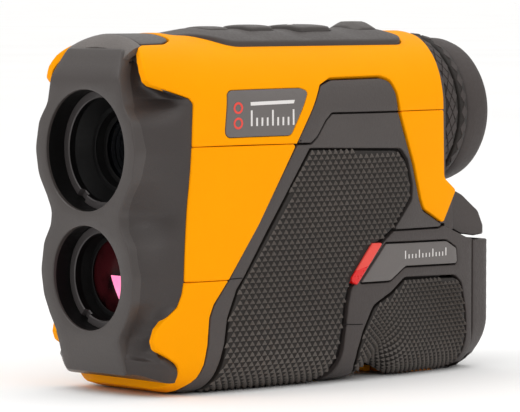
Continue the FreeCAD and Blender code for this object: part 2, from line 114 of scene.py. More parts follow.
def moulded(name, rgb, roughness=0.5, mottle=0.12, grain=900.0, bump=0.25, cells=0.0,
            specular=0.5, metallic=0.0, coat=0.0, depth=0.00012):
    material, tree, shader, coords = nodeTree(name)
    base = linear(rgb)
    broad = noiseNode(tree, coords, 60.0, 4.0)
    fine = noiseNode(tree, coords, grain, 2.0)
    dark = [c * (1 - mottle) for c in base[:3]] + [1.0]
    light = [min(1.0, c * (1 + mottle)) for c in base[:3]] + [1.0]
    tone = rampNode(tree, broad.outputs["Fac"], [(0.3, dark), (0.7, light)])
    tree.links.new(tone.outputs["Color"], shader.inputs["Base Color"])
    gloss = tree.nodes.new("ShaderNodeMapRange")
    gloss.inputs["From Min"].default_value = 0.3
    gloss.inputs["From Max"].default_value = 0.7
    gloss.inputs["To Min"].default_value = clamp(roughness - 0.06)
    gloss.inputs["To Max"].default_value = clamp(roughness + 0.06)
    tree.links.new(fine.outputs["Fac"], gloss.inputs["Value"])
    tree.links.new(gloss.outputs["Result"], shader.inputs["Roughness"])
    bumper = tree.nodes.new("ShaderNodeBump")
    bumper.inputs["Strength"].default_value = bump
    bumper.inputs["Distance"].default_value = depth
    if cells:
        pits = tree.nodes.new("ShaderNodeTexVoronoi")
        pits.inputs["Scale"].default_value = cells
        tree.links.new(coords.outputs["Object"], pits.inputs["Vector"])
        tree.links.new(pits.outputs["Distance"], bumper.inputs["Height"])
    else:
        tree.links.new(fine.outputs["Fac"], bumper.inputs["Height"])
    tree.links.new(bumper.outputs["Normal"], shader.inputs["Normal"])
    shader.inputs["Metallic"].default_value = metallic
    shader.inputs["Specular IOR Level"].default_value = specular
    shader.inputs["Coat Weight"].default_value = coat
    return material


finishes = {
    "yellow": moulded("yellowPlastic", (255, 161, 0), 0.5, 0.02, 1400, 0.12, 0, 0.04),
    "plate": moulded("satinPlate", (63, 57, 55), 0.4, 0.05, 2200, 0.18, 0, 0.5),
    # flanks: the bezel's plastic made darker than the plate, painted shade on the sides
    "flank": moulded("stippledPlastic", (50, 43, 41), 0.46, 0.1, 2600, 0.5, 2800, 0.5, depth=0.00006),
    # rim: the same stippled plastic made much lighter where the band faces up, painted light
    "rim": moulded("rimPlastic", (96, 90, 87), 0.5, 0.16, 2400, 0.8, 2400, 0.5, depth=0.00012),
    "panel": moulded("panelPlastic", (70, 64, 62), 0.52, 0.06, 1800, 0.35, 1700, 0.45),
    "skirt": moulded("coverPlastic", (64, 57, 55), 0.5, 0.06, 1800, 0.3, 1700, 0.45),
    # grip teeth lighter and the base between them far darker: painted highlight on the tips, painted
    # shade in the gaps
    "grip": moulded("gripRubber", (88, 81, 76), 0.5, 0.1, 1600, 0.3, 0, 0.45),
    "gripPaintedShade": moulded("gripRubberBase", (36, 31, 28), 0.6, 0.1, 1600, 0.3, 0, 0.35),
    "rubber": moulded("softRubber", (62, 55, 53), 0.62, 0.07, 1500, 0.3, 0, 0.4),
    "keys": moulded("keyRubber", (74, 69, 67), 0.5, 0.05, 1500, 0.2, 0, 0.45),
    "deck": moulded("deckRubber", (62, 56, 54), 0.5, 0.06, 1500, 0.3, 0, 0.45),
    "plaque": moulded("plaqueGrey", (104, 99, 97), 0.45, 0.03, 2000, 0.15, 0, 0.4),
    "mark": moulded("printedWhite", (226, 222, 220), 0.5, 0.02, 1500, 0.1, 0, 0.3),
    "red": moulded("redAccent", (232, 70, 58), 0.35, 0.05, 1500, 0.1, 0, 0.5),
    "redDeep": moulded("redAccentDeep", (222, 12, 8), 0.3, 0.03, 1500, 0.1, 0, 0.5),
    "orange": moulded("orangePlastic", (240, 150, 28), 0.45, 0.04, 1400, 0.15, 0, 0.35),
    # near-black: real dark joint lines, and painted shade in the inner sheet and the dark step behind the
    # cap
    "shadeAndJointLiner": moulded("linerPlastic", (22, 17, 16), 0.7, 0.1, 900, 0.3, 0, 0.2),
    "black": moulded("blackAluminium", (26, 24, 25), 0.4, 0.1, 1200, 0.2, 0, 0.5, 0.3),
    "anodised": moulded("anodisedRing", (86, 82, 82), 0.35, 0.06, 1500, 0.15, 0, 0.5, 0.5),
    "steel": moulded("springSteel", (176, 176, 180), 0.28, 0.06, 1200, 0.1, 0, 0.5, 1.0),
    "brass": moulded("turnedBrass", (196, 158, 84), 0.3, 0.07, 1200, 0.1, 0, 0.5, 1.0),
    "board": moulded("solderMask", (28, 92, 54), 0.4, 0.15, 700, 0.2, 0, 0.5, 0.0, 0.3),
    "component": moulded("chipPackage", (34, 34, 36), 0.5, 0.1, 900, 0.2, 0, 0.4),
    "can": moulded("metalCan", (190, 186, 172), 0.3, 0.05, 900, 0.1, 0, 0.5, 0.9),
    "cell": moulded("cellWrap", (52, 60, 78), 0.35, 0.12, 500, 0.1, 0, 0.5, 0.0, 0.3),
}


def glass(name, rgb, roughness, strength):
    material, tree, shader, coords = nodeTree(name)
    haze = noiseNode(tree, coords, 300.0)
    tone = rampNode(tree, haze.outputs["Fac"], [(0.35, linear(rgb)),
        (0.75, linear([c * 0.8 for c in rgb]))])
    tree.links.new(tone.outputs["Color"], shader.inputs["Base Color"])
    shader.inputs["Roughness"].default_value = roughness
    shader.inputs["Transmission Weight"].default_value = strength
    shader.inputs["IOR"].default_value = 1.5
    shader.inputs["Coat Weight"].default_value = 0.6
    shader.inputs["Coat Roughness"].default_value = 0.04
    return material


finishes["clear"] = glass("clearGlass", (235, 240, 238), 0.03, 0.9)
finishes["coated"] = glass("coatedGlass", (96, 30, 40), 0.06, 0.35)
print("materials made")


# the body surface: a section across X and Z that narrows towards both ends

body = {
    "halfWidth": 22.3, "widestAt": 8.0, "frontTaper": 0.00107, "rearTaper": 0.0019,
    "crownRadius": 26.5, "crownCentre": 55.6, "shoulderX": 12.15, "underRadius": 8.5,
    "archAt": 17.3, "archWidth": 4.6, "archRise": 3.4,
    "backY": 57.5, "backCorner": 2.8, "backSweep": 14.0, "noseRise": 2.0,
}
crownHalf = asin(body["shoulderX"] / body["crownRadius"])


def halfWidth(y):
    taper = body["frontTaper"] if y < body["widestAt"] else body["rearTaper"]
    return body["halfWidth"] - taper * (y - body["widestAt"]) ** 2


def section(y):
    w = halfWidth(y)
    rho = (w - body["shoulderX"]) / (1 - sin(crownHalf))
    joinZ = body["crownCentre"] + body["crownRadius"] * cos(crownHalf)
    flatTop = joinZ - rho * cos(crownHalf)
    crownStart = flatTop + rho * (pi / 2 - crownHalf)
    top = crownStart + body["crownRadius"] * crownHalf
    bottom = 2 * body["underRadius"] - body["underRadius"] * pi / 2 - w
    return w, rho, flatTop, crownStart, top, bottom


def floorLift(y):
    arch = body["archRise"] * hump(y, body["archAt"], body["archWidth"])
    return arch + body["noseRise"] * ease(-y, 39.5, 50.0)


def onBody(y, v, h=0.0):
    w, rho, flatTop, crownStart, top, _ = section(y)
    r = body["underRadius"]
    if v < r:
        turn = (r - v) / r
        if turn < pi / 2:
            x, z, nx, nz = w - r + r * cos(turn), r - r * sin(turn), cos(turn), -sin(turn)
        else:
            x, z, nx, nz = w - r - (turn - pi / 2) * r, 0.0, 0.0, -1.0
    elif v <= flatTop:
        x, z, nx, nz = w, v, 1.0, 0.0
    elif v < crownStart:
        turn = (v - flatTop) / rho
        x, z, nx, nz = w - rho + rho * cos(turn), flatTop + rho * sin(turn), cos(turn), sin(turn)
    else:
        lean = (top - v) / body["crownRadius"]
        x, z = body["crownRadius"] * sin(lean), body["crownCentre"] + body["crownRadius"] * cos(lean)
        nx, nz = sin(lean), cos(lean)
    x, z = x + nx * h, z + nz * h
    lift = floorLift(y)
    z += lift * (1 - ease(z, 0.0, 22.0))
    x -= 0.35 * lift * hump(z, 6.0, 7.0)
    return Vector((x, y, z))


def heightV(y, z):
    _, rho, flatTop, _, top, _ = section(y)
    r = body["underRadius"]
    if z < 0:
        return z
    if z < r:
        return r - r * asin(clamp((r - z) / r))
    if z <= flatTop:
        return z
    turn = asin(clamp((z - flatTop) / rho))
    if turn < pi / 2 - crownHalf:
        return flatTop + rho * turn
    return top - body["crownRadius"] * acos(clamp((z - body["crownCentre"]) / body["crownRadius"]))


def mirrored(p):
    return Vector((-p.x, p.y, p.z))


def overTop(y, g, h):
    p = onBody(y, section(y)[4] - abs(g), h)
    return p if g >= 0 else mirrored(p)


def underneath(y, b, h):
    p = onBody(y, section(y)[5] + abs(b), h)
    return p if b >= 0 else mirrored(p)


def topG(y, z):
    return section(y)[4] - heightV(y, z)


# outlines, patches and meshes

def roundLoop(corners, step=1.3):
    points = []
    count = len(corners)
    for i, corner in enumerate(corners):
        p = Vector(corner[:2])
        radius = corner[2] if len(corner) > 2 else 0.0
        a = Vector(corners[i - 1][:2]) - p
        b = Vector(corners[(i + 1) % count][:2]) - p
        la, lb = a.length, b.length
        a, b = a / la, b / lb
        half = acos(clamp(a.dot(b), -1, 1)) / 2
        cut = min(radius / tan(half), 0.48 * la, 0.48 * lb) if radius and half < pi / 2 - 0.01 else 0.0
        if cut < 0.05:
            points.append(p)
            continue
        radius = cut * tan(half)
        centre = p + (a + b).normalized() * (radius / sin(half))
        start, end = p + a * cut - centre, p + b * cut - centre
        sweep = atan2(start.x * end.y - start.y * end.x, start.dot(end))
        steps = max(2, int(abs(sweep) / 0.3), int(abs(sweep) * radius / step) + 1)
        for k in range(steps + 1):
            turn = sweep * k / steps
            c, s = cos(turn), sin(turn)
            points.append(centre + Vector((start.x * c - start.y * s, start.x * s + start.y * c)))
    dense = []
    for i, p in enumerate(points):
        q = points[(i + 1) % len(points)]
        parts = max(1, int((q - p).length / step + 0.5))
        dense += [p.lerp(q, k / parts) for k in range(parts)]
    return [p for i, p in enumerate(dense) if (p - dense[i - 1]).length > 0.02]


def circleLoop(cx, cy, radius, count=72):
    return [Vector((cx + radius * cos(2 * pi * k / count), cy + radius * sin(2 * pi * k / count)))
            for k in range(count)]


def barLoop(x0, x1, y0, y1):
    return [Vector((x0, y0)), Vector((x1, y0)), Vector((x1, y1)), Vector((x0, y1))]


def area(loop):
    return sum(a.x * b.y - a.y * b.x for a, b in zip(loop, loop[1:] + loop[:1])) / 2


def turnLeft(loop):
    if area(loop) < 0:
        loop.reverse()


def inset(loop, distance):
    moved = []
    count = len(loop)
    distances = distance if isinstance(distance, list) else [distance] * count
    for i, p in enumerate(loop):
        a = (p - loop[i - 1]).normalized()
        b = (loop[(i + 1) % count] - p).normalized()
        normal = Vector((-a.y - b.y, a.x + b.x))
        scale = max(0.35, normal.length / 2)
        moved.append(p + normal.normalized() * (distances[i] / scale))
    return moved


def insideMask(points, loops):
    inside = np.zeros(len(points), bool)
    for loop in loops:
        xs = np.array([p.x for p in loop])
        ys = np.array([p.y for p in loop])
        nx, ny = np.roll(xs, -1), np.roll(ys, -1)
        for x0, y0, x1, y1 in zip(xs, ys, nx, ny):
            if y0 == y1:
                continue
            hit = (y0 > points[:, 1]) != (y1 > points[:, 1])
            cross = (x1 - x0) * (points[:, 1] - y0) / (y1 - y0) + x0
            inside ^= hit & (points[:, 0] < cross)
    return inside


def fill(loops, spacing):
    boundary = [p for loop in loops for p in loop]
    edges = []
    start = 0
    for loop in loops:
        edges += [(start + i, start + (i + 1) % len(loop)) for i in range(len(loop))]
        start += len(loop)
    arr = np.array([(p.x, p.y) for p in boundary])
    low, high = arr.min(0), arr.max(0)
    rows = np.arange(low[1] + spacing * 0.5, high[1], spacing * 0.866)
    grid = np.array([(x + (spacing / 2 if i % 2 else 0), y)
                     for i, y in enumerate(rows) for x in np.arange(low[0], high[0], spacing)]
                    or [(0.0, 0.0)])
    grid = grid[insideMask(grid, loops)]
    if len(grid):
        gap = np.full(len(grid), 1e9)
        for p in arr:
            gap = np.minimum(gap, np.hypot(grid[:, 0] - p[0], grid[:, 1] - p[1]))
        grid = grid[gap > spacing * 0.5]
    points = boundary + [Vector(p) for p in grid]
    verts, _, faces, origins, _, _ = delaunay_2d_cdt(points, edges, [], 0, 1e-5)
    middle = np.array([[sum(verts[i].x for i in f) / 3, sum(verts[i].y for i in f) / 3] for f in faces])
    keep = insideMask(middle, loops)
    places = {}
    for i, origin in enumerate(origins):
        for o in origin:
            places[o] = i
    faces = [f for f, k in zip(faces, keep) if k]
    return verts, faces, [places[i] for i in range(len(boundary))]


class Shape:
    def __init__(self):
        self.verts, self.faces, self.mats = [], [], []

    def add(self, verts, faces, mat=0):
        base = len(self.verts)
        self.verts += list(verts)
        self.faces += [tuple(base + i for i in f) for f in faces]
        self.mats += [mat] * len(faces)
        return base

    def patch(self, loops, lift, top=0.0, thickness=2.0, edge=0.3, spacing=1.7, mat=0, steps=3):
        loops = [list(loop) for loop in loops]
        for i, loop in enumerate(loops):
            if (area(loop) > 0) != (i == 0):
                loop.reverse()
        radius = edge if callable(edge) else (lambda p: edge)
        radii = [[radius(p) for p in loop] for loop in loops]
        turns = [pi / 2 * k / steps for k in range(1, steps + 1)]
        rings = [loops, loops]
        drops = [[thickness] * sum(map(len, loops)), [r for part in radii for r in part]]
        for turn in turns:
            shrunk = [[r * (1 - cos(turn)) for r in part] for part in radii]
            rings.append([inset(loop, part) for loop, part in zip(loops, shrunk)])
            drops.append([r * (1 - sin(turn)) for part in radii for r in part])
        upVerts, upFaces, upIds = fill(rings[-1], spacing)
        base = self.add([lift(p.x, p.y, top) for p in upVerts], upFaces, mat)
        upIds = [base + i for i in upIds]
        downVerts, downFaces, downIds = fill(rings[0], spacing * 2)
        downFaces = [tuple(reversed(f)) for f in downFaces]
        base = self.add([lift(p.x, p.y, top - thickness) for p in downVerts], downFaces, mat)
        ids = [[base + i for i in downIds]]
        for ring, drop in zip(rings[1:-1], drops[1:-1]):
            flat = [p for loop in ring for p in loop]
            start = self.add([lift(p.x, p.y, top - d) for p, d in zip(flat, drop)], [])
            ids.append(list(range(start, start + len(flat))))
        ids.append(upIds)
        start = 0
        for loop in loops:
            n = len(loop)
            for lower, upper in zip(ids, ids[1:]):
                for i in range(n):
                    j = (i + 1) % n
                    a, b = start + i, start + j
                    self.faces.append((lower[a], lower[b], upper[b], upper[a]))
                    self.mats.append(mat)
            start += n
        return self

    def grid(self, rows, closeRows=False, closeCols=False, mat=0):
        n, m = len(rows), len(rows[0])
        faces = []
        for i in range(n if closeRows else n - 1):
            for j in range(m if closeCols else m - 1):
                a, b = i * m + j, i * m + (j + 1) % m
                c, d = ((i + 1) % n) * m + (j + 1) % m, ((i + 1) % n) * m + j
                faces.append((a, b, c, d))
        self.add([p for row in rows for p in row], faces, mat)
        return self

    def slab(self, rows, backs, mat=0):
        n, m = len(rows), len(rows[0])
        front = [p for row in rows for p in row]
        back = [p for row in backs for p in row]
        faces = []
        for i in range(n - 1):
            for j in range(m - 1):
                a, b, c, d = i * m + j, i * m + j + 1, (i + 1) * m + j + 1, (i + 1) * m + j
                faces += [(a, b, c, d), (n * m + d, n * m + c, n * m + b, n * m + a)]
        rim = [j for j in range(m)] + [i * m + m - 1 for i in range(1, n)]
        rim += [(n - 1) * m + j for j in range(m - 2, -1, -1)] + [i * m for i in range(n - 2, 0, -1)]
        for i, a in enumerate(rim):
            b = rim[(i + 1) % len(rim)]
            faces.append((b, a, n * m + a, n * m + b))
        self.add(front + back, faces, mat)
        return self

    def lathe(self, profile, axisZ, count=96, mat=0):
        rows = []
        for k in range(count):
            turn = 2 * pi * k / count
            rows.append([Vector((r * cos(turn), y, axisZ + r * sin(turn))) for y, r in profile])
        return self.grid(rows, closeRows=True, closeCols=True, mat=mat)

    def make(self, name, finishList, angle=38):
        mesh = bpy.data.meshes.new(name)
        mesh.from_pydata([tuple(c * mm for c in v) for v in self.verts], [], self.faces)
        for poly, mat in zip(mesh.polygons, self.mats):
            poly.material_index = mat
        work = bmesh.new()
        work.from_mesh(mesh)
        bmesh.ops.remove_doubles(work, verts=work.verts, dist=1e-7)
        bmesh.ops.dissolve_degenerate(work, edges=work.edges, dist=1e-7)
        bmesh.ops.recalc_face_normals(work, faces=work.faces)
        work.to_mesh(mesh)
        work.free()
        mesh.shade_smooth()
        mesh.set_sharp_from_angle(angle=radians(angle))
        obj = bpy.data.objects.new(name, mesh)
        scene.collection.objects.link(obj)
        for finish in finishList:
            mesh.materials.append(finishes[finish])
        return obj


def place(obj, bodyName, slotName, *nodes):
    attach(obj, bodyName)
    if nodes:
        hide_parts(*nodes)
    print("made", obj.name, len(obj.data.polygons), "faces")
    return obj


def sideLift(sign):
    return onBody if sign > 0 else lambda y, v, h: mirrored(onBody(y, v, h))


def sideLoop(points, radius=0.6, step=1.3):
    return roundLoop([(p[0], heightV(p[0], p[1]), p[2] if len(p) > 2 else radius) for p in points], step)


# edges that neighbouring pieces share, as (y, z) on the right side

seamGap = 0.05
frontEdge = [
    (-50.8, 79.2), (-52.6, 77.1), (-53.4, 74.5), (-53.3, 71.8), (-52.2, 70.7), (-47.5, 69.3),
    (-42.1, 67.6),
    (-40.9, 66.3), (-41.2, 60.4), (-41.4, 56.5),
]
frontEdgeMid = [(-41.4, 56.5), (-41.7, 51.4), (-42.5, 43.3), (-43.2, 33.4), (-43.6, 26.0)]
frontEdgeLow = [
    (-43.6, 26.0), (-44.1, 23.3), (-45.4, 20.4), (-49.0, 17.5), (-50.8, 15.3), (-51.6, 12.2),
    (-50.9, 9.9),
    (-47.6, 7.9), (-45.3, 6.6), (-44.6, 5.4), (-44.6, 2.6),
]
deckLoopXY = [
    (5.2, -35.6, 3.0), (5.6, -31.0, 5.0), (12.6, -23.6, 7.0), (12.6, 33.8, 4.0),
    (-12.6, 33.8, 4.0), (-12.6, -23.6, 7.0), (-5.6, -31.0, 5.0), (-5.2, -35.6, 3.0),
]


def crownG(x):
    return body["crownRadius"] * asin(clamp(x / body["crownRadius"], -1, 1))


def crownLoop(cornersXY, step=1.3):
    return roundLoop([(y, crownG(x), r) for x, y, r in cornersXY], step)


# covers

def coverEdge(p):
    return 0.25 + 0.3 * ease(-p.x, 40.5, 41.5)


def topCover():
    right = [(-38.2, 0.0, 0.0), (-38.2, 9.0, 3.2), (-42.6, 11.3, 3.0), (-49.4, 11.6, 1.0)]
    right += [(y, topG(y, z), 0.9) for y, z in frontEdge[:-1]]
    right += [(y, topG(y, 56.5 + seamGap), 0.2) for y in (-41.3, -11.2)]
    right += [(-2.85, topG(-2.7, 70.0), 1.6)]
    right += [(1.2, topG(1.2, 71.7), 1.2), (17.6, topG(17.6, 71.9), 2.0), (20.6, topG(20.6, 71.0), 2.5)]
    right += [(21.9, topG(21.9, 67.9), 2.5), (22.4, topG(22.4, 63.3 + seamGap), 0.2)]
    right += [(38.2, topG(38.2, 63.3 + seamGap), 0.2), (38.0, topG(38.0, 69.2), 4.0)]
    right += [(38.4, topG(38.4, 73.2), 4.0), (39.3, topG(39.3, 77.5), 4.0), (41.3, topG(41.3, 80.8), 5.0)]
    right += [(41.8, 0.0, 0.0)]
    left = [(y, -g, r) for y, g, r in reversed(right[1:-1])]
    outline = roundLoop(right + left)
    holes = [crownLoop(deckLoopXY)]
    for sign in (1, -1):
        loop = [(y, sign * topG(y, z), r) for y, z, r in plaque["outline"]]
        holes.append(roundLoop(loop))
    shape = Shape().patch([outline] + holes, overTop, 0.0, 2.0, coverEdge, 1.7, 0, 4)
    return shape.make("topCover", ["yellow"])


plaque = {
    "outline": [
        (-30.6, 69.2, 1.3), (-9.4, 69.4, 1.4), (-7.0, 68.6, 0.9), (-13.0, 58.4, 1.6), (-32.4, 58.3, 1.6),
        (-31.5, 68.3, 0.8),
    ],
    "gap": 0.12, "lip": 0.05, "ringY": -28.6, "ringZ": (65.1, 61.6), "ringR": 1.35,
    "scaleY": -25.0, "scaleZ": 60.9, "scalePitch": 1.55, "scaleMarks": 9,
}


def sidePlaques():
    shape = Shape()
    for sign in (1, -1):
        loop = roundLoop([(y, sign * topG(y, z), r) for y, z, r in plaque["outline"]])
        turnLeft(loop)
        shape.patch([inset(loop, plaque["gap"])], overTop, plaque["lip"], 1.2, 0.15, 1.7)
        # generic marks: two rings with a bar and a graduated line beside them
        y = plaque["ringY"]
        for z in plaque["ringZ"]:
            ring = circleLoop(y, sign * topG(y, z), plaque["ringR"], 24)
            hole = circleLoop(y, sign * topG(y, z), plaque["ringR"] - 0.5, 24)
            shape.patch([ring, hole], overTop, plaque["lip"] + 0.06, 0.3, 0.03, 2.0, 1, 1)
        for k in range(plaque["scaleMarks"]):
            y = plaque["scaleY"] + plaque["scalePitch"] * k
            tall = 3.6 if k % 4 == 0 else 1.9
            low, high = sign * topG(y, plaque["scaleZ"]), sign * topG(y, plaque["scaleZ"] + tall)
            bar = barLoop(y, y + 0.5, low, high)
            shape.patch([bar], overTop, plaque["lip"] + 0.06, 0.3, 0.03, 2.0, 2, 1)
        low, high = sign * topG(-20, 65.7), sign * topG(-20, 66.5)
        bar = [Vector((-25.0, low)), Vector((-12.1, low)), Vector((-11.7, high)), Vector((-25.0, high))]
        shape.patch([bar], overTop, plaque["lip"] + 0.06, 0.3, 0.03, 2.0, 2, 1)
    return shape.make("sidePlaques", ["plaque", "red", "mark"])


def oneSide(shape, points, sign, top, thickness=2.0, edge=0.3, spacing=1.7, mat=0, radius=0.6):
    return shape.patch([sideLoop(points, radius)], sideLift(sign), top, thickness, edge, spacing, mat)


def bothSides(shape, points, *rest):
    for sign in (1, -1):
        oneSide(shape, points, sign, *rest)
    return shape


def middleShell():
    points = [(-41.4, 56.5 - seamGap, 0.6)] + frontEdgeMid[1:-1] + [(-43.5, 26.0 + seamGap, 0.6)]
    points += [(-31.2, 26.0 + seamGap, 0.6), (-22.5, 38.3), (-11.3, 56.5 - seamGap, 0.6)]
    shape = bothSides(Shape(), points, 0.0, 2.0, coverEdge)
    rear = [(22.4, 63.3 - seamGap, 0.6), (27.5, 50.4, 3.0), (30.0, 42.0, 2.0), (31.1, 39.8, 1.5)]
    rear += [(34.3, 38.2, 1.0), (38.2, 36.1, 0.8), (43.2, 43.8, 0.8), (38.6, 46.9, 2.0)]
    rear += [(38.2, 63.3 - seamGap, 0.6)]
    bothSides(shape, rear, 0.0)
    return shape.make("middleShell", ["yellow"])


def bottomCover():
    edge = [(-44.6, 5.4), (-45.3, 6.6), (-47.6, 7.9), (-50.9, 9.9), (-51.6, 12.2),
            (-50.8, 15.3), (-49.0, 17.5), (-45.4, 20.4), (-44.1, 23.3)]
    right = [(-47.9, 0.0, 0.0), (-47.6, 9.0, 8.0), (-45.2, 16.0, 5.0), (-44.5, 19.0, 2.0)]
    right += [(y, bottomB(y, z), 1.2) for y, z in edge]
    right += [(-43.6, bottomB(-43.6, 26.0 - seamGap), 0.2), (-31.3, bottomB(-31.3, 26.0 - seamGap), 0.2)]
    rear = [(-35.2, 20.6), (-36.4, 17.7), (-36.9, 11.6), (-37.9, 7.1), (-39.0, 4.1), (-40.9, 1.8)]
    right += [(y - 0.3, bottomB(y, z), 3.0) for y, z in rear]
    right += [(-42.6, 12.0, 3.0), (-40.5, 7.8, 2.0), (26.6, 7.8, 1.0), (26.6, 0.0, 0.0)]
    left = [(y, -b, r) for y, b, r in reversed(right[1:-1])]
    shape = Shape().patch([roundLoop(right + left)], underneath, 0.0, 1.8, coverEdge, 1.7, 0, 4)
    return shape.make("bottomCover", ["yellow"])


def bottomB(y, z):
    return heightV(y, z) - section(y)[5]


def sidePanel(sign):
    shape = Shape()
    gap = 0.2
    upper = [(-11.0 + gap, 56.5 + gap, 0.3), (-6.6, 56.6, 0.8), (-4.8, 57.9, 1.5),
        (-2.0, 61.8, 1.0), (-0.1, 63.5, 1.0)]
    upper += [(22.0 - gap, 63.4, 0.3), (21.6 - gap, 67.8, 3.0), (20.2, 70.6, 2.5),
        (17.4, 71.5 - gap, 2.0)]
    upper += [(1.3, 71.3 - gap, 1.6), (-2.4, 69.9, 1.6)]
    oneSide(shape, upper, sign, panelHeight, 2.0, 0.35)
    lower = [(-11.0 + gap, 56.2, 0.3), (-6.4, 56.2, 0.8), (-4.5, 57.7, 1.5), (-1.7, 61.6, 1.0),
        (0.1, 63.1, 1.0)]
    lower += [(22.0 - gap, 63.0, 0.3), (27.1 - gap, 50.4), (29.6 - gap, 41.9, 2.0), (30.7, 39.3, 1.5)]
    lower += [(34.0, 37.7), (38.0, 35.7, 0.4), (36.8, 35.2, 0.8), (20.6, 35.3, 0.4)]
    lower += [(26.9, 42.0, 1.5), (27.1, 45.8, 3.0), (25.4, 51.8, 2.5), (22.9, 54.5, 2.0),
        (-7.0, 55.2 + gap, 0.6)]
    lower += [(-19.9, 36.7), (-26.6, 26.5), (-28.7, 23.8), (-31.4, 17.4, 4.0), (-32.3, 11.3, 4.0)]
    lower += [(-33.8, 6.8, 3.0), (-35.5, 1.0, 1.0), (-37.0, -3.5, 1.0), (-41.5, -3.5, 2.0),
        (-40.6, 1.8, 2.0)]
    lower += [(-38.8, 4.1, 2.0), (-37.7, 7.1, 3.0), (-36.7, 11.6, 4.0), (-36.2, 17.7, 3.0),
        (-35.0, 20.6, 3.0)]
    lower += [(-30.8, 26.1, 1.0)]
    oneSide(shape, lower, sign, panelHeight, 2.0, 0.35)
    return shape


panelHeight = -0.25
print("helpers ready")


# grip pads: a curved pad with staggered three-sided points on it

grip = {
    "pitchY": 1.8, "pitchZ": 1.2, "tooth": 0.8, "width": 1.7, "height": 1.18,
    "border": 0.15, "baseHeight": -0.28, "rearPitchY": 1.55, "rearPitchZ": 1.02, "rearScale": 0.86,
    "accentRoom": 0.7,
}
padFrontOutline = [
    (-6.6, 54.9, 1.2), (20.9, 54.0, 2.5), (24.4, 51.4, 2.5), (26.1, 45.7, 3.0), (25.8, 42.3, 2.0),
    (18.9, 35.0, 1.5),
    (13.0, 31.9, 1.0), (5.3, 23.2, 3.0), (3.6, 18.3, 4.0), (2.9, 12.5, 4.0), (0.9, 5.0, 3.0),
    (-1.8, -4.5, 1.0),
    (-35.5, -4.5, 1.5), (-33.6, 3.0, 3.0), (-31.6, 11.3, 4.0), (-30.7, 17.4, 4.0), (-28.1, 23.6, 3.0),
    (-26.1, 26.4, 3.0),
]
padRearOutline = [
    (24.4, 23.1, 2.0), (43.0, 22.6, 2.5), (45.3, 20.9, 2.5), (47.0, 14.0, 4.0), (47.1, 8.7, 4.0),
    (46.3, 1.5, 4.0),
    (43.0, -2.5, 2.0), (12.5, -4.5, 1.5), (9.0, 4.0, 3.0), (8.9, 7.1, 3.0), (10.6, 11.3, 3.0),
    (14.0, 16.9, 3.0),
    (19.6, 19.7, 3.0),
]


def toothObject(name, finish):
    w, h = grip["width"] / 2, grip["height"] / 2
    sink, rise = -0.15, grip["tooth"]
    corners = [(-w, -h), (w, -h), (0.16, h), (-0.16, h)]
    verts = [Vector((x, y, sink)) for x, y in corners] + [Vector((0.0, -h * 0.45, rise))]
    faces = [(3, 2, 1, 0), (0, 1, 4), (1, 2, 4), (2, 3, 4), (3, 0, 4)]
    shape = Shape()
    shape.add(verts, faces)
    return shape.make(name, [finish], 10)


def scatterTree():
    tree = bpy.data.node_groups.new("scatterOnPoints", "GeometryNodeTree")
    face = tree.interface
    face.new_socket("Geometry", in_out="INPUT", socket_type="NodeSocketGeometry")
    face.new_socket("Tooth", in_out="INPUT", socket_type="NodeSocketObject")
    face.new_socket("Relief", in_out="INPUT", socket_type="NodeSocketFloat").default_value = 1.0
    face.new_socket("Finish", in_out="INPUT", socket_type="NodeSocketMaterial")
    face.new_socket("Geometry", in_out="OUTPUT", socket_type="NodeSocketGeometry")
    node = tree.nodes.new
    groupIn, groupOut = node("NodeGroupInput"), node("NodeGroupOutput")
    info, turn = node("GeometryNodeObjectInfo"), node("GeometryNodeInputNamedAttribute")
    turn.data_type = "FLOAT_VECTOR"
    turn.inputs["Name"].default_value = "turn"
    size = node("GeometryNodeInputNamedAttribute")
    size.data_type = "FLOAT_VECTOR"
    size.inputs["Name"].default_value = "size"
    relief = node("ShaderNodeCombineXYZ")
    relief.inputs["X"].default_value = 1.0
    relief.inputs["Y"].default_value = 1.0
    scaled = node("ShaderNodeVectorMath")
    scaled.operation = "MULTIPLY"
    onPoints, realize = node("GeometryNodeInstanceOnPoints"), node("GeometryNodeRealizeInstances")
    points, setMat = node("GeometryNodeMeshToPoints"), node("GeometryNodeSetMaterial")
    link = tree.links.new
    link(groupIn.outputs["Tooth"], info.inputs["Object"])
    link(groupIn.outputs["Relief"], relief.inputs["Z"])
    link(size.outputs["Attribute"], scaled.inputs[0])
    link(relief.outputs["Vector"], scaled.inputs[1])
    link(groupIn.outputs["Geometry"], points.inputs["Mesh"])
    link(points.outputs["Points"], onPoints.inputs["Points"])
    link(info.outputs["Geometry"], onPoints.inputs["Instance"])
    link(turn.outputs["Attribute"], onPoints.inputs["Rotation"])
    link(scaled.outputs["Vector"], onPoints.inputs["Scale"])
    link(onPoints.outputs["Instances"], realize.inputs["Geometry"])
    link(realize.outputs["Geometry"], setMat.inputs["Geometry"])
    link(groupIn.outputs["Finish"], setMat.inputs["Material"])
    link(setMat.outputs["Geometry"], groupOut.inputs["Geometry"])
    return tree


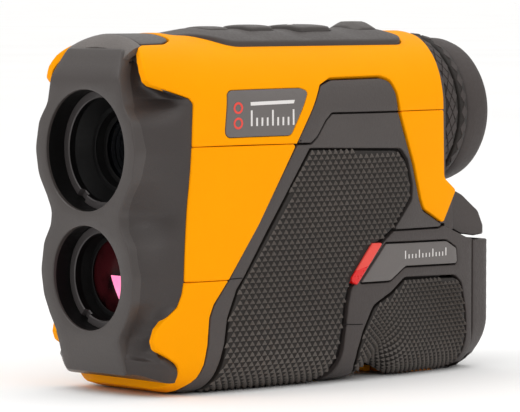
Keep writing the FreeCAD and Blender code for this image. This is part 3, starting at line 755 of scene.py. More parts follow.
def scatter(name, spots, tooth, finish, relief=1.0):
    mesh = bpy.data.meshes.new(name + "Points")
    mesh.from_pydata([tuple(c * mm for c in s[0]) for s in spots], [], [])
    turns = mesh.attributes.new("turn", "FLOAT_VECTOR", "POINT")
    sizes = mesh.attributes.new("size", "FLOAT_VECTOR", "POINT")
    flat, scales = [], []
    for _, across, normal, scale in spots:
        normal = normal.normalized()
        across = (across - normal * across.dot(normal)).normalized()
        up = normal.cross(across)
        matrix = Matrix((across, up, normal)).transposed()
        flat += list(matrix.to_euler())
        scales += list(scale)
    turns.data.foreach_set("vector", flat)
    sizes.data.foreach_set("vector", scales)
    holder = bpy.data.objects.new(name + "Points", mesh)
    scene.collection.objects.link(holder)
    modifier = holder.modifiers.new("scatter", "NODES")
    modifier.node_group = scatterGroup
    sockets = scatterGroup.interface.items_tree
    ids = {item.name: item.identifier for item in sockets if item.in_out == "INPUT"}
    modifier[ids["Tooth"]] = tooth
    modifier[ids["Relief"]] = relief
    modifier[ids["Finish"]] = finishes[finish]
    bpy.context.view_layer.update()
    made = bpy.data.meshes.new_from_object(holder.evaluated_get(bpy.context.evaluated_depsgraph_get()))
    bpy.data.objects.remove(holder)
    return made


def joinMesh(obj, mesh):
    work = bmesh.new()
    work.from_mesh(obj.data)
    count = len(work.faces)
    work.from_mesh(mesh)
    work.faces.ensure_lookup_table()
    for face in work.faces[count:]:
        face.material_index = len(obj.data.materials) - 1
    for name in ("turn", "size"):
        layer = work.verts.layers.float_vector.get(name)
        if layer:
            work.verts.layers.float_vector.remove(layer)
    work.to_mesh(obj.data)
    work.free()
    bpy.data.meshes.remove(mesh)
    return obj


def padSpots(outline, sign, pitchY, pitchZ, scale, border, relief, keepOff=()):
    loop = sideLoop(outline)
    turnLeft(loop)
    inner = inset(loop, border)
    ys, vs = [p.x for p in loop], [p.y for p in loop]
    rows = []
    v, row = max(vs) - border - 0.35 * pitchZ, 0
    while v > min(vs):
        y = min(ys) + (pitchY / 2 if row % 2 else 0.0)
        while y < max(ys):
            rows.append((y, v))
            y += pitchY
        v -= pitchZ
        row += 1
    arr = np.array(rows)
    arr = arr[insideMask(arr, [inner])]
    for blocked in keepOff:
        arr = arr[~insideMask(arr, [blocked])]
    spots = []
    for y, v in arr:
        p = onBody(y, v, grip["baseHeight"])
        normal = onBody(y, v, 1.0) - onBody(y, v, 0.0)
        across = onBody(y + 0.3, v, 0.0) - onBody(y - 0.3, v, 0.0)
        if sign < 0:
            p, normal, across = mirrored(p), mirrored(normal), -mirrored(across)
        spots.append((p, across, normal, (scale, scale, relief(y, v))))
    return spots


def frontPad(sign):
    shape = Shape()
    # the pad's base in the darker rubber: painted shade between the teeth
    oneSide(shape, padFrontOutline, sign, grip["baseHeight"], 2.4, 0.3)
    obj = shape.make("frontGripPad" + ("Right" if sign > 0 else "Left"), ["gripPaintedShade", "grip"])
    blocked = sideLoop(accent["outline"])
    turnLeft(blocked)
    blocked = inset(blocked, -grip["accentRoom"])
    spots = padSpots(padFrontOutline, sign, grip["pitchY"], grip["pitchZ"], 1.0, grip["border"],
                     lambda y, v: 1.0 - 0.35 * (1 - ease(v, 2, 22)), [blocked])
    return joinMesh(obj, scatter(obj.name, spots, pointTooth, "grip"))


def rearPad(sign):
    shape = Shape()
    # the pad's base in the darker rubber: painted shade between the teeth
    oneSide(shape, padRearOutline, sign, grip["baseHeight"], 2.4, 0.3)
    obj = shape.make("rearGripPad" + ("Right" if sign > 0 else "Left"), ["gripPaintedShade", "grip"])
    spots = padSpots(padRearOutline, sign, grip["rearPitchY"], grip["rearPitchZ"], grip["rearScale"],
                     grip["border"], lambda y, v: 0.75 + 0.45 * ease(y + v, 38, 62))
    return joinMesh(obj, scatter(obj.name, spots, pointTooth, "grip"))


scatterGroup = scatterTree()
pointTooth = toothObject("pointTooth", "grip")


# rear: sides that wrap round to the back, the wall behind the covers, door and latch

def planPoint(s):
    corner, backY = body["backCorner"], body["backY"]
    turnY = backY - corner
    w = halfWidth(turnY)
    if s <= turnY:
        return Vector((halfWidth(s), s)), Vector((1.0, 0.0))
    turn = (s - turnY) / corner
    if turn < pi / 2:
        n = Vector((cos(turn), sin(turn)))
        return Vector((w - corner, turnY)) + n * corner, n
    return Vector((w - corner - (turn - pi / 2) * corner, backY)), Vector((0.0, 1.0))


planEnd = body["backY"] - body["backCorner"] + body["backCorner"] * pi / 2 + (
    halfWidth(body["backY"] - body["backCorner"]) - body["backCorner"])


def onRear(s, z, h):
    sign = 1 if s <= planEnd else -1
    s = s if s <= planEnd else 2 * planEnd - s
    p, n = planPoint(s)
    blend = ease(s, body["backY"] - 16, body["backY"] - body["backCorner"] + 6)
    r = body["underRadius"] + (body["backSweep"] - 1.0 - body["underRadius"]) * blend
    nz = 0.0
    if z < r:
        turn = (r - z) / r
        if turn < pi / 2:
            p, z, nz = p - n * (r - r * cos(turn)), r - r * sin(turn), -sin(turn)
            n = n * cos(turn)
        else:
            p, z, nz = p - n * (r + (turn - pi / 2) * r), 0.0, -1.0
            n = n * 0.0
    x, y = p.x + n.x * h, p.y + n.y * h
    z += nz * h
    lift = floorLift(y)
    z += lift * (1 - ease(z, 0.0, 22.0))
    x -= 0.35 * lift * hump(z, 6.0, 7.0)
    return Vector((sign * x, y, z))


def rearHousing():
    shape = Shape()
    top = -0.25
    # side skirts
    skirt = [(20.4, 34.9, 0.4), (36.9, 34.8, 0.8), (38.7, 35.4, 0.8), (47.8, 32.2, 2.0),
        (50.0, 31.8, 0.3)]
    skirt += [(50.0, -3.0, 0.5), (1.0, -4.5, 0.5), (3.0, 4.0, 2.0), (4.4, 12.0, 3.0), (5.3, 18.3, 3.0)]
    skirt += [(6.4, 22.2, 2.0), (16.6, 32.3, 0.6)]
    pad = [(24.2, 23.8, 2.0), (43.2, 23.3, 2.5), (45.9, 21.3, 2.5), (47.7, 14.0, 4.0), (47.8, 8.7, 4.0)]
    pad += [(47.0, 1.0, 4.0), (43.2, -2.9, 2.0), (12.0, -4.2, 0.5), (8.2, 4.0, 3.0), (8.2, 7.2, 3.0)]
    pad += [(10.0, 11.6, 3.0), (13.5, 17.5, 3.0), (19.3, 20.4, 3.0)]
    name = nameplate["outline"]
    for sign in (1, -1):
        lift = sideLift(sign)
        loops = [sideLoop(skirt), sideLoop(pad), sideLoop(name)]
        shape.patch(loops, lift, top, 2.0, 0.35, 1.7)
    # fine joint lines where the dark mouldings meet
    for line in ([(3.2, 13.9), (9.9, 13.4)], [(-31.0, 26.2), (-27.2, 26.3)]):
        strip = [(y, z + 0.13) for y, z in line] + [(y, z - 0.13) for y, z in reversed(line)]
        bothSides(shape, strip, top + 0.03, 0.4, 0.02, 2.0, 1, 0.05)
    # upper wall that closes the covers, with the eyepiece bore in it
    right = []
    for k in range(13):
        v = 36 + (section(39)[4] - 36) * k / 12
        p = onBody(39.0, v, -0.5)
        right.append((p.x, p.z))
    loop = roundLoop(right + [(-x, z) for x, z in reversed(right[:-1])], 1.5)
    bore = circleLoop(0.0, eye["axisZ"], 14.3)
    shape.patch([loop, bore], lambda x, z, h: Vector((x, 38.6 + h, z)), 0.9, 2.0, 0.2, 2.5)
    # cradle below the eyepiece
    cradle = [(-19.6, 34.0, 0.5), (19.6, 34.0, 0.5), (19.2, 43.5, 1.0), (-19.2, 43.5, 1.0)]
    shape.patch([roundLoop(cradle)], lambda x, z, h: Vector((x, 41.5 + h, z)), 1.0, 3.0, 0.3, 2.5)
    return shape.make("rearHousing", ["skirt", "shadeAndJointLiner"])


nameplate = {
    "outline": [
        (17.4, 32.4, 0.5), (39.6, 32.0, 2.0), (43.7, 30.0, 1.2), (44.1, 26.4, 1.0), (43.2, 25.7, 0.6),
        (24.4, 26.1, 2.0), (19.1, 22.9, 2.0), (8.4, 23.0, 0.5),
    ],
    "gap": 0.4, "marks": 13, "markY": 24.0, "markZ": 28.2, "markPitch": 1.25, "markWidth": 0.35,
}
accent = {
    "outline": [(12.6, 32.5, 0.3), (16.1, 32.4, 0.3), (7.6, 22.9, 0.5), (5.2, 23.9, 0.9)],
    "splitY": 8.5, "splitZ": 26.6, "splitSlope": 0.25,
}


def nameplates():
    shape = Shape()
    for sign in (1, -1):
        loop = sideLoop(nameplate["outline"])
        turnLeft(loop)
        lift = sideLift(sign)
        shape.patch([inset(loop, nameplate["gap"])], lift, -0.05, 1.6, 0.2, 1.7)
        for k in range(nameplate["marks"]):
            y, low = nameplate["markY"] + nameplate["markPitch"] * k, nameplate["markZ"]
            high = low + (1.9 if k % 4 == 0 else 1.0)
            bar = barLoop(y, y + nameplate["markWidth"], low, high)
            shape.patch([bar], lift, 0.0, 0.3, 0.03, 2.0, 1, 1)
    return shape.make("nameplates", ["plaque", "mark"])


def accentStrips():
    shape = Shape()
    for sign in (1, -1):
        loop = sideLoop(accent["outline"])
        lift = sideLift(sign)
        shape.patch([loop], lift, 0.28, 1.6, 0.3, 0.45)
    obj = shape.make("accentStrips", ["red", "redDeep"])
    cut = bmesh.new()
    cut.from_mesh(obj.data)
    pieces = cut.verts[:] + cut.edges[:] + cut.faces[:]
    splitY, splitZ, slope = accent["splitY"], accent["splitZ"], accent["splitSlope"]
    bmesh.ops.bisect_plane(cut, geom=pieces, plane_co=(0, splitY * mm, splitZ * mm),
        plane_no=(0, -slope, 1))
    for face in cut.faces:
        c = face.calc_center_median() / mm
        face.material_index = 1 if c.z < splitZ + slope * (c.y - splitY) else 0
    cut.to_mesh(obj.data)
    cut.free()
    return obj


door = {
    "sideY": 50.3, "topZ": 31.3, "under": -6.0, "dishZ": 24.0, "dishR": 5.2, "pivotY": 50.6,
    "pivotZ": 4.4,
    "knuckleHalf": 6.0, "knuckleR": 1.9,
}


def batteryDoor():
    shape = Shape()
    # the shell runs round the back from one side to the other
    start, end, top, under = door["sideY"], 2 * planEnd - door["sideY"], door["topZ"], door["under"]
    loop = roundLoop([(start, top, 0.4), (start, under, 0.5), (end, under, 0.5), (end, top, 0.4)], 1.3)
    shape.patch([loop], onRear, -0.15, 2.0, 0.35, 1.6)
    # finger dish rim on the back and the hinge knuckle below
    ring = circleLoop(planEnd, door["dishZ"], door["dishR"], 48)
    hole = circleLoop(planEnd, door["dishZ"], door["dishR"] - 0.8, 48)
    shape.patch([ring, hole], onRear, 0.35, 0.8, 0.2, 2.0)
    end, r = door["knuckleHalf"], door["knuckleR"]
    knuckle = [(-end, 0.0), (-end, r - 0.15), (0.4 - end, r), (end - 0.4, r), (end, r - 0.15), (end, 0.0)]
    rows = []
    for k in range(32):
        turn = 2 * pi * k / 32
        y, z = cos(turn), sin(turn)
        rows.append([Vector((x, door["pivotY"] + r * y, door["pivotZ"] + r * z)) for x, r in knuckle])
    shape.grid(rows, closeRows=True)
    return shape.make("batteryDoor", ["skirt"])


latch = {
    "outline": [
        (39.2, 36.2, 0.6), (43.4, 43.3, 1.0), (46.2, 43.6, 1.2), (49.3, 42.4, 2.0), (55.8, 38.2, 2.0),
        (57.8, 34.6, 1.2), (57.8, 32.5, 0.5), (54.0, 32.2, 1.0), (48.2, 32.9, 3.0),
    ],
    "halfWidth": 17.6, "ridgePitch": 2.7, "ridgeDepth": 0.8,
}


def doorLatch():
    loop = roundLoop(latch["outline"], 0.7)
    half = latch["halfWidth"]
    stations = [-half + 2 * half * k / 32 for k in range(33)]
    rows = []
    pivot = 40.0
    centre = Vector((sum(p.x for p in loop) / len(loop), sum(p.y for p in loop) / len(loop)))
    for x in stations:
        edge = abs(x) / half
        back = 1 - 0.16 * clamp((abs(x) - 11.0) / (half - 11.0)) ** 2.2
        shrink = 1.0 if edge < 0.97 else 0.93
        row = []
        for p in loop:
            y = pivot + (p.x - pivot) * back
            z = p.y
            # grip ridges on the sloping top
            if z > 34.5 and p.x > 44.5 and abs(x) < half - 1.5:
                wave = 0.5 + 0.5 * sin((p.x - 44.5) * 2 * pi / latch["ridgePitch"])
                z -= latch["ridgeDepth"] * wave * ease(p.x, 44.5, 46)
            q = Vector((y, z))
            q = centre + (q - centre) * shrink
            row.append(Vector((x, q.x, q.y)))
        rows.append(row)
    shape = Shape().grid(rows, closeCols=True)
    n = len(loop)
    shape.faces.append(tuple(range(n)))
    shape.faces.append(tuple(range((len(rows) - 1) * n, len(rows) * n)))
    shape.mats += [0, 0]
    return shape.make("doorLatch", ["skirt"])


# eyepiece

eye = {"axisZ": 62.5, "diopter": 18.9, "cup": 17.8, "knurlAround": 30}


def diopterRing():
    r = eye["diopter"]
    profile = [
        (39.9, 15.0), (39.9, r - 1.2), (40.2, r - 0.5), (40.8, r - 0.15), (42.6, r),
        (44.7, r - 0.1), (45.0, r - 0.5),
        (45.15, r - 1.0), (45.75, r - 1.0), (45.9, r - 0.5), (46.2, r - 0.2), (47.2, r - 0.2),
        (48.2, r - 0.35),
        (48.6, r - 0.8), (48.7, r - 1.4), (48.7, 15.0),
    ]
    # the ring body in the darker rubber: painted shade between the knurl diamonds
    obj = Shape().lathe(profile, eye["axisZ"], 120).make("diopterRing", ["gripPaintedShade", "rubber"], 50)
    spots = []
    bands = [(40.75, 44.8, 2, r - 0.12), (46.0, 48.2, 1, r - 0.3)]
    for low, high, rows, radius in bands:
        step = (high - low) / rows
        for row in range(rows * 2 - 1):
            y = low + step / 2 * (row + 1)
            for k in range(eye["knurlAround"]):
                turn = 2 * pi * (k + (0.5 if row % 2 else 0.0)) / eye["knurlAround"]
                normal = Vector((cos(turn), 0, sin(turn)))
                p = Vector((radius * cos(turn), y, eye["axisZ"] + radius * sin(turn)))
                spots.append((p, Vector((0, 1, 0)), normal, (step * 0.94, 1.0, 1.0)))
    return joinMesh(obj, scatter("diopterRing", spots, diamondTooth, "rubber"))


def diamondObject():
    half = pi * eye["diopter"] / eye["knurlAround"] * 0.94
    verts = []
    for size, z in ((1.0, -0.4), (0.96, 0.1), (0.88, 0.24)):
        verts += [Vector((0.5 * size, 0, z)), Vector((0, half * size, z)), Vector((-0.5 * size, 0, z)),
                  Vector((0, -half * size, z))]
    faces = [(3, 2, 1, 0), (8, 9, 10, 11)]
    for level in (0, 4):
        for i in range(4):
            j = (i + 1) % 4
            faces.append((level + i, level + j, level + 4 + j, level + 4 + i))
    shape = Shape()
    shape.add(verts, faces)
    return shape.make("diamondTooth", ["rubber"], 10)


diamondTooth = diamondObject()


def eyecup():
    r = eye["cup"]
    profile = [
        (49.1, 14.6), (49.1, r - 1.0), (49.4, r - 0.4), (50.0, r - 0.05), (52.4, r),
        (55.2, r - 0.15), (56.6, r - 0.6),
        (57.6, r - 1.4), (58.2, r - 2.6), (58.3, r - 3.6), (58.0, r - 4.5), (57.2, r - 5.2), (55.0, 12.0),
        (52.6, 11.2), (51.6, 11.2), (51.4, 13.0), (51.2, 14.6),
    ]
    return Shape().lathe(profile, eye["axisZ"], 120).make("eyecup", ["rubber"], 60)


# keypad deck and keys

deck = {
    "edgeX": 12.4, "edgeZ": 80.1, "topZ": 83.25, "frontY": -35.4, "rearY": 33.6,
    "dips": [(-13.4, 2.6, 0.75), (1.2, 3.2, 0.85), (19.6, 3.4, 0.55)],
}
keyShapes = {
    "powerKey": {"node": "power_button", "y": -19.8, "length": 7.6, "width": 9.0, "top": 83.4,
    "radius": 1.6},
    "upKey": {"node": "up_button", "y": -6.9, "length": 7.6, "width": 11.0, "top": 83.7, "radius": 1.6},
    "downKey": {"node": "down_button", "y": 9.3, "length": 10.3, "width": 13.0, "top": 83.7,
    "radius": 1.6},
    "fireKey": {"node": "fire_button", "y": 27.4, "length": 8.4, "width": 11.0, "top": 84.3,
    "radius": 1.8, "taper": 1.6},
}


def deckZ(x, y):
    t = clamp(abs(x) / deck["edgeX"])
    z = deck["topZ"] - (deck["topZ"] - deck["edgeZ"]) * t ** 1.9
    for at, width, depth in deck["dips"]:
        z -= depth * hump(y, at, width) * (1 - t ** 2)
    nose = 1 - ease(y, deck["frontY"], -22.5)
    z -= (z - 82.0 + 0.10 * abs(x)) * 0.93 * nose
    tail = ease(y, 29.5, deck["rearY"] + 1.0)
    z -= (z - 81.2 + 0.055 * abs(x)) * 0.45 * tail
    return z


def keypadDeck():
    outline = roundLoop([(x * 0.985, y * 0.996, r) for x, y, r in deckLoopXY], 0.9)
    holes = [keyLoop(k, 0.3) for k in keyShapes.values()]
    lift = lambda x, y, h: Vector((x, y, deckZ(x, y) + h))
    shape = Shape().patch([outline] + holes, lift, 0.0, 3.2, 0.5, 1.1, 0, 4)
    return shape.make("keypadDeck", ["deck"])


def keyLoop(key, grow=0.0):
    y0, y1 = key["y"] - key["length"] / 2 - grow, key["y"] + key["length"] / 2 + grow
    x = key["width"] / 2 + grow
    corners = [(g, y, key["radius"]) for g, y in ((-x, y0), (x, y0), (x, y1), (-x, y1))]
    return roundLoop(corners, 0.7)


def makeKey(name, key):
    def lift(x, y, h):
        across = abs(x) / (key["width"] / 2)
        lengthways = abs(y - key["y"]) / (key["length"] / 2)
        z = key["top"] + 0.1 - 0.55 * across ** 3 - 0.25 * lengthways ** 3
        z -= key.get("taper", 0.0) * (max(0.0, across - 0.35) + max(0.0, lengthways - 0.45))
        return Vector((x, y, z + h))

    shape = Shape().patch([keyLoop(key)], lift, 0.0, 4.0, 0.45, 0.8, 0, 4)
    if name == "downKey":
        loop = circleLoop(1.0, key["y"] - 3.4, 0.7, 20)
        shape.patch([loop], lift, 0.05, 0.3, 0.03, 2.0, 1, 1)
        return shape.make(name, ["keys", "mark"])
    return shape.make(name, ["keys"])


# front bezel

bezel = {
    "faceY": -56.7, "upperZ": 55.6, "upperR": 13.8, "lowerZ": 26.6, "lowerR": 11.9, "wallY": -49.6,
    "gap": 0.3, "soleZ": 3.15, "leanLow": (12.7, 2.6 / 8.4), "leanHigh": (72.3, 3.1 / 6.5),
    "slantLow": (9.0, 0.62),
    "slantHigh": (71.0, 0.74), "rimHalf": 12.3, "rimY": -48.9, "capHalf": 11.5,
}
# plate outline as (half width, height, corner radius), bottom to top
plateSide = [
    (10.6, 4.9, 1.0), (10.9, 9.2, 4.0), (10.7, 13.2, 4.0), (13.6, 17.8, 6.0), (15.6, 22.0, 6.0),
    (16.4, 27.5, 8.0),
    (15.0, 34.2, 6.0), (12.4, 38.2, 5.0), (11.9, 41.5, 4.0), (13.7, 45.0, 5.0), (16.6, 49.6, 8.0),
    (17.7, 55.6, 8.0),
    (16.4, 62.0, 6.0), (13.3, 66.2, 5.0), (12.3, 71.0, 4.0), (11.2, 74.6, 3.0), (9.6, 78.7, 1.6),
]


def faceY(z):
    lean = 0.7 * ease(-z, -45.0, -15.0)
    (low, lowSlope), (high, highSlope) = bezel["leanLow"], bezel["leanHigh"]
    lean += max(0.0, low - z) * lowSlope + max(0.0, z - high) * highSlope
    return bezel["faceY"] + lean


def plateLoop():
    return roundLoop(plateSide + [(-x, z, r) for x, z, r in reversed(plateSide)], 0.8)


plateEdge = sorted((p.y, p.x) for p in plateLoop() if p.x > 7.0)


def plateHalf(z):
    return float(np.interp(z, [e[0] for e in plateEdge], [e[1] for e in plateEdge]))


def bezelBorder():
    corners = [(-50.2, 79.9), *frontEdge[:-1], *frontEdgeMid, *frontEdgeLow[1:]]
    rounded = roundLoop([(y, z, 1.0) for y, z in corners] + [(-30.0, 2.6), (-30.0, 79.9)], 0.6)
    turnLeft(rounded)
    moved = inset(rounded, -bezel["gap"])
    border = sorted(((p.y, p.x) for p in moved if p.x < -38.0 and p.y > bezel["soleZ"]),
        key=lambda e: -e[0])
    kept = [border[0]]
    for z, y in border[1:]:
        if kept[-1][0] - z > 0.04:
            kept.append((z, y))
    return kept


# depth of the hollows in the flank, by height
hollows = [
    (3.0, 0.0), (6.0, 0.0), (9.0, 0.8), (12.4, 2.2), (15.5, 2.0), (19.0, 0.9), (23.0, 0.2),
    (30.0, 0.0), (36.0, 0.5),
    (40.5, 1.2), (45.0, 0.6), (50.0, 0.0), (62.0, 0.0), (65.0, 0.5), (67.5, 2.2), (71.0, 3.4),
    (75.0, 3.3),
    (78.0, 2.4), (80.0, 1.5),
]


def flank(z, y1, t):
    x1 = onBody(y1, heightV(y1, z), -0.22).x
    # rows beyond the ends of the plate slant back to it
    (low, lowSlant), (high, highSlant) = bezel["slantLow"], bezel["slantHigh"]
    z0 = z + max(0.0, low - z) * (1 - lowSlant) - max(0.0, z - high) * (1 - highSlant)
    x0, y0 = plateHalf(z0) - 0.25, faceY(z0) + 0.45
    hollow = along(z, hollows)[0]
    toe = ease(-z, -10.0, -7.5)
    reach = (0.45 * t + 0.55 * ease(t, 0.1, 1.15)) * (1 - toe) + sin(pi / 2 * min(1.0, t / 0.85)) * toe
    x = x0 + (x1 - x0) * reach
    y = y0 + (y1 - y0) * t
    dish = sin(pi * min(1.0, t / 0.94)) ** 1.1
    limit = y1 + 0.15 + 9.0 * max(0.0, 0.8 - t) ** 1.3
    # beside the tabs the scoop runs on behind the cover's edge
    openEnd = ease(z, 68.5, 72.5) + ease(z, 7.5, 11.0) * ease(-z, -19.5, -15.5)
    deep = y + max(hollow, 1.2) * 1.5 * sin(pi / 2 * min(1.0, t / 0.6))
    y = min(y + hollow * 1.5 * dish, limit) * (1 - openEnd) + deep * openEnd
    x -= hollow * 0.45 * dish * (1 - ease(t, 0.6, 0.85)) + 0.9 * openEnd * ease(t, 0.6, 1.0)
    return Vector((x, y, z0 + (z - z0) * ease(t, 0.0, 0.9)))


def frontBezel():
    shape = Shape()
    outline = plateLoop()
    bores = [(bezel["upperZ"], bezel["upperR"]), (bezel["lowerZ"], bezel["lowerR"])]
    holes = [circleLoop(0.0, z, r, 96) for z, r in bores]
    lift = lambda x, z, h: Vector((x, faceY(z) - h, z))
    shape.patch([outline] + holes, lift, 0.0, 3.4, 0.35, 2.2, 0)
    # stippled flanks, in a darker copy of the plate's plastic: painted shade
    for sign in (1, -1):
        rows, backs = [], []
        for z, y1 in bezelBorder():
            row = [flank(z, y1, t / 18) for t in range(19)]
            row.append(row[-1] + Vector((-0.9, 2.0, 1.2 * ease(-z, -10.0, -9.0) * ease(z, 4.5, 6.0))))
            back = [p + Vector((-1.6, 0.9, 0.0)) for p in row]
            if sign < 0:
                row, back = [mirrored(p) for p in row], [mirrored(p) for p in back]
            rows.append(row)
            backs.append(back)
        shape.slab(rows, backs, 1)
        lowest = rows[-1]
    # sole under the lower plate, between the two flanks
    other = [mirrored(p) for p in lowest]
    rows = [[p.lerp(q, k / 16) for k in range(17)] for p, q in zip(lowest, other)]
    shape.slab(rows, [[p + Vector((0, 0.5, 1.4)) for p in row] for row in rows], 0)
    # bore walls, in near-black: their own black and painted shade
    for z, r in bores:
        front, back = faceY(z) + 0.9, bezel["wallY"]
        profile = [(front, r - 0.03), (front, r + 1.0), (back, r + 1.0), (back, r - 0.03)]
        shape.lathe(profile, z, 96, 2)
    # arched rim over the cap and the tongue behind it; the rim's lighter stippled finish is painted light
    # on the upward-facing band
    rows, backs = [], []
    for k in range(65):
        g = bezel["rimHalf"] * (k / 32 - 1)
        y = bezel["rimY"] - 0.9 * (g / bezel["rimHalf"]) ** 2
        row = [overTop(y - 0.52 * t, g, -0.15 - 0.045 * t * t) for t in range(9)]
        rows.append(row)
        backs.append([p - Vector((p.x * 0.05, -0.4, 1.6)) for p in row])
    shape.slab(rows, backs, 4)
    # dark step behind the top edge of the cap, in near-black: painted shade in the recess under the rim
    rows, backs = [], []
    for k in range(25):
        x = bezel["capHalf"] * (k / 12 - 1)
        low = Vector((x, -52.6, 75.5))
        high = overTop(-52.0, crownG(x), -3.6)
        rows.append([low.lerp(high, t / 3) for t in range(4)])
        backs.append([p + Vector((0, 1.2, 0)) for p in rows[-1]])
    shape.slab(rows, backs, 3)
    side = [(-38.6, -8.8, 3.4), (-42.8, -10.9, 3.0), (-49.3, -11.2, 0.5)]
    tongue = side + [(y, -g, r) for y, g, r in reversed(side)]
    shape.patch([roundLoop(tongue)], overTop, -0.1, 2.0, 0.3, 1.5, 0)
    return shape.make("frontBezel", ["plate", "flank", "bore", "shadeAndJointLiner", "rim"])


optics = {
    "upper": {"z": 55.6, "bore": 13.75, "ringInner": 11.9, "steps": [(-46.0, 8.9),
    (-43.9, 7.4)], "lens": 7.3},
    "lower": {"z": 26.6, "bore": 11.85, "ringInner": 10.0, "steps": [(-47.4, 8.4)], "lens": 8.3},
    "ringFront": -51.4, "ringBack": -49.6, "slotAngle": -123.0, "slotHalf": 5.0, "slotDepth": 1.0,
}


def retainingRing(name, spec):
    count = 144
    rows = []
    for k in range(count):
        angle = 360.0 * k / count
        off = min(abs((angle - optics["slotAngle"] - half) % 360.0 - 180.0) for half in (0.0, 180.0))
        front = optics["ringFront"] + (optics["slotDepth"] if off < optics["slotHalf"] else 0.0)
        c, s = cos(radians(angle)), sin(radians(angle))
        profile = [
            (front + 0.12, spec["bore"]), (front, spec["bore"] - 0.15), (front, spec["ringInner"] + 0.2),
            (front + 0.2, spec["ringInner"]), (optics["ringBack"], spec["ringInner"]),
            (optics["ringBack"], spec["bore"]),
        ]
        rows.append([Vector((r * c, y, spec["z"] + r * s)) for y, r in profile])
    shape = Shape().grid(rows, closeRows=True, closeCols=True)
    # front faces in the ring finish; the faces inside the bore take the near-black with its painted shade
    shape.mats = [0 if i % 6 in (0, 1, 2) else 1 for i in range(len(shape.faces))]
    return shape.make(name, ["ringFace", "bore"], 30)


def baffle(name, spec, finish):
    shape = Shape()
    profile = [(optics["ringBack"] + 0.02, spec["ringInner"] + 0.3)]
    outer = [(optics["ringBack"] + 0.02, spec["ringInner"] + 1.0)]
    for y, r in spec["steps"]:
        profile += [(y, r + 1.1), (y, r + 0.12), (y + 0.12, r), (y + 0.5, r + 0.2)]
    last = spec["steps"][-1][0] + 0.5
    profile += [(last + 0.3, spec["lens"] + 0.6), (last + 0.3, spec["lens"] + 2.5)]
    shape.lathe(profile + outer, spec["z"], 96)
    # the lens: a shallow dome that closes the cone
    depth = last + 0.25
    dome = [(depth + 1.2, 0.01), (depth + 1.2, spec["lens"] + 0.5), (depth, spec["lens"] + 0.5)]
    dome += [(depth - 1.3 * (1 - (r / 10) ** 2), spec["lens"] * r / 10) for r in (10, 8, 6, 4, 2, 0.05)]
    shape.lathe(dome, spec["z"], 96, 1)
    return shape.make(name, ["bore", finish], 40)


# painted reflection on the laser lens: where the pink patch sits and how strongly it glows
paintedReflectionPatch = {"top": 0.0268, "slope": 0.42, "edge": -0.0012, "glow": 0.75}  # metres


def tintedLens(name):
    material, tree, shader, coords = nodeTree(name)
    split = tree.nodes.new("ShaderNodeSeparateXYZ")
    tree.links.new(coords.outputs["Object"], split.inputs["Vector"])

    def math(operation, a, b):
        node = tree.nodes.new("ShaderNodeMath")
        node.operation = operation
        for socket, value in zip(node.inputs, (a, b)):
            if isinstance(value, (int, float)):
                socket.default_value = value
            else:
                tree.links.new(value, socket)
        return node.outputs["Value"]

    # painted reflection: a pink patch, glowing by emission, fills the lower quarter on one side
    below = math("LESS_THAN", split.outputs["Z"], paintedReflectionPatch["top"])
    slope = math("MULTIPLY", math("SUBTRACT", paintedReflectionPatch["top"], split.outputs["Z"]), paintedReflectionPatch["slope"])
    beyond = math("GREATER_THAN", math("SUBTRACT", split.outputs["X"], slope), paintedReflectionPatch["edge"])
    reflectionMask = math("MULTIPLY", below, beyond)
    glow = noiseNode(tree, coords, 130.0, 2.0)
    deep = rampNode(tree, glow.outputs["Fac"], [(0.35, linear((14, 4, 5))), (0.6, linear((58, 16, 20)))])
    reflectionPinks = [(0.2, linear((255, 120, 170))), (0.8, linear((255, 160, 200)))]
    reflectionColour = rampNode(tree, glow.outputs["Fac"], reflectionPinks)
    mix = tree.nodes.new("ShaderNodeMix")
    mix.data_type = "RGBA"
    tree.links.new(reflectionMask, mix.inputs["Factor"])
    tree.links.new(deep.outputs["Color"], mix.inputs["A"])
    tree.links.new(reflectionColour.outputs["Color"], mix.inputs["B"])
    tree.links.new(mix.outputs["Result"], shader.inputs["Base Color"])
    # the painted reflection glows by emission, though the lens is no lamp
    tree.links.new(reflectionColour.outputs["Color"], shader.inputs["Emission Color"])
    tree.links.new(math("MULTIPLY", reflectionMask, paintedReflectionPatch["glow"]), shader.inputs["Emission Strength"])
    shader.inputs["Roughness"].default_value = 0.2
    shader.inputs["Specular IOR Level"].default_value = 0.08
    return material


finishes["ringFace"] = moulded("ringFace", (74, 70, 70), 0.38, 0.08, 1500, 0.15, 0, 0.5, 0.2)
# near black, darker than any other black here: the bores' own matte black and painted shade deep inside
# them
finishes["bore"] = moulded("boreBlack", (7, 6, 6), 0.5, 0.2, 900, 0.2, 0, 0.25)
finishes["darkLens"] = moulded("darkLens", (8, 9, 12), 0.08, 0.3, 200, 0.02, 0, 0.6, 0.0, 0.5)
finishes["tintedLensPaintedReflection"] = tintedLens("tintedLens")


# thin dark skin seen through the joint lines, lower under the keys: a near-black sheet that stands in for
# the shade inside the body
shadeAndJointLiner = {"frontY": -39.5, "length": 77.5, "depth": 1.5, "keyRoom": 3.5, "wall": 0.8}


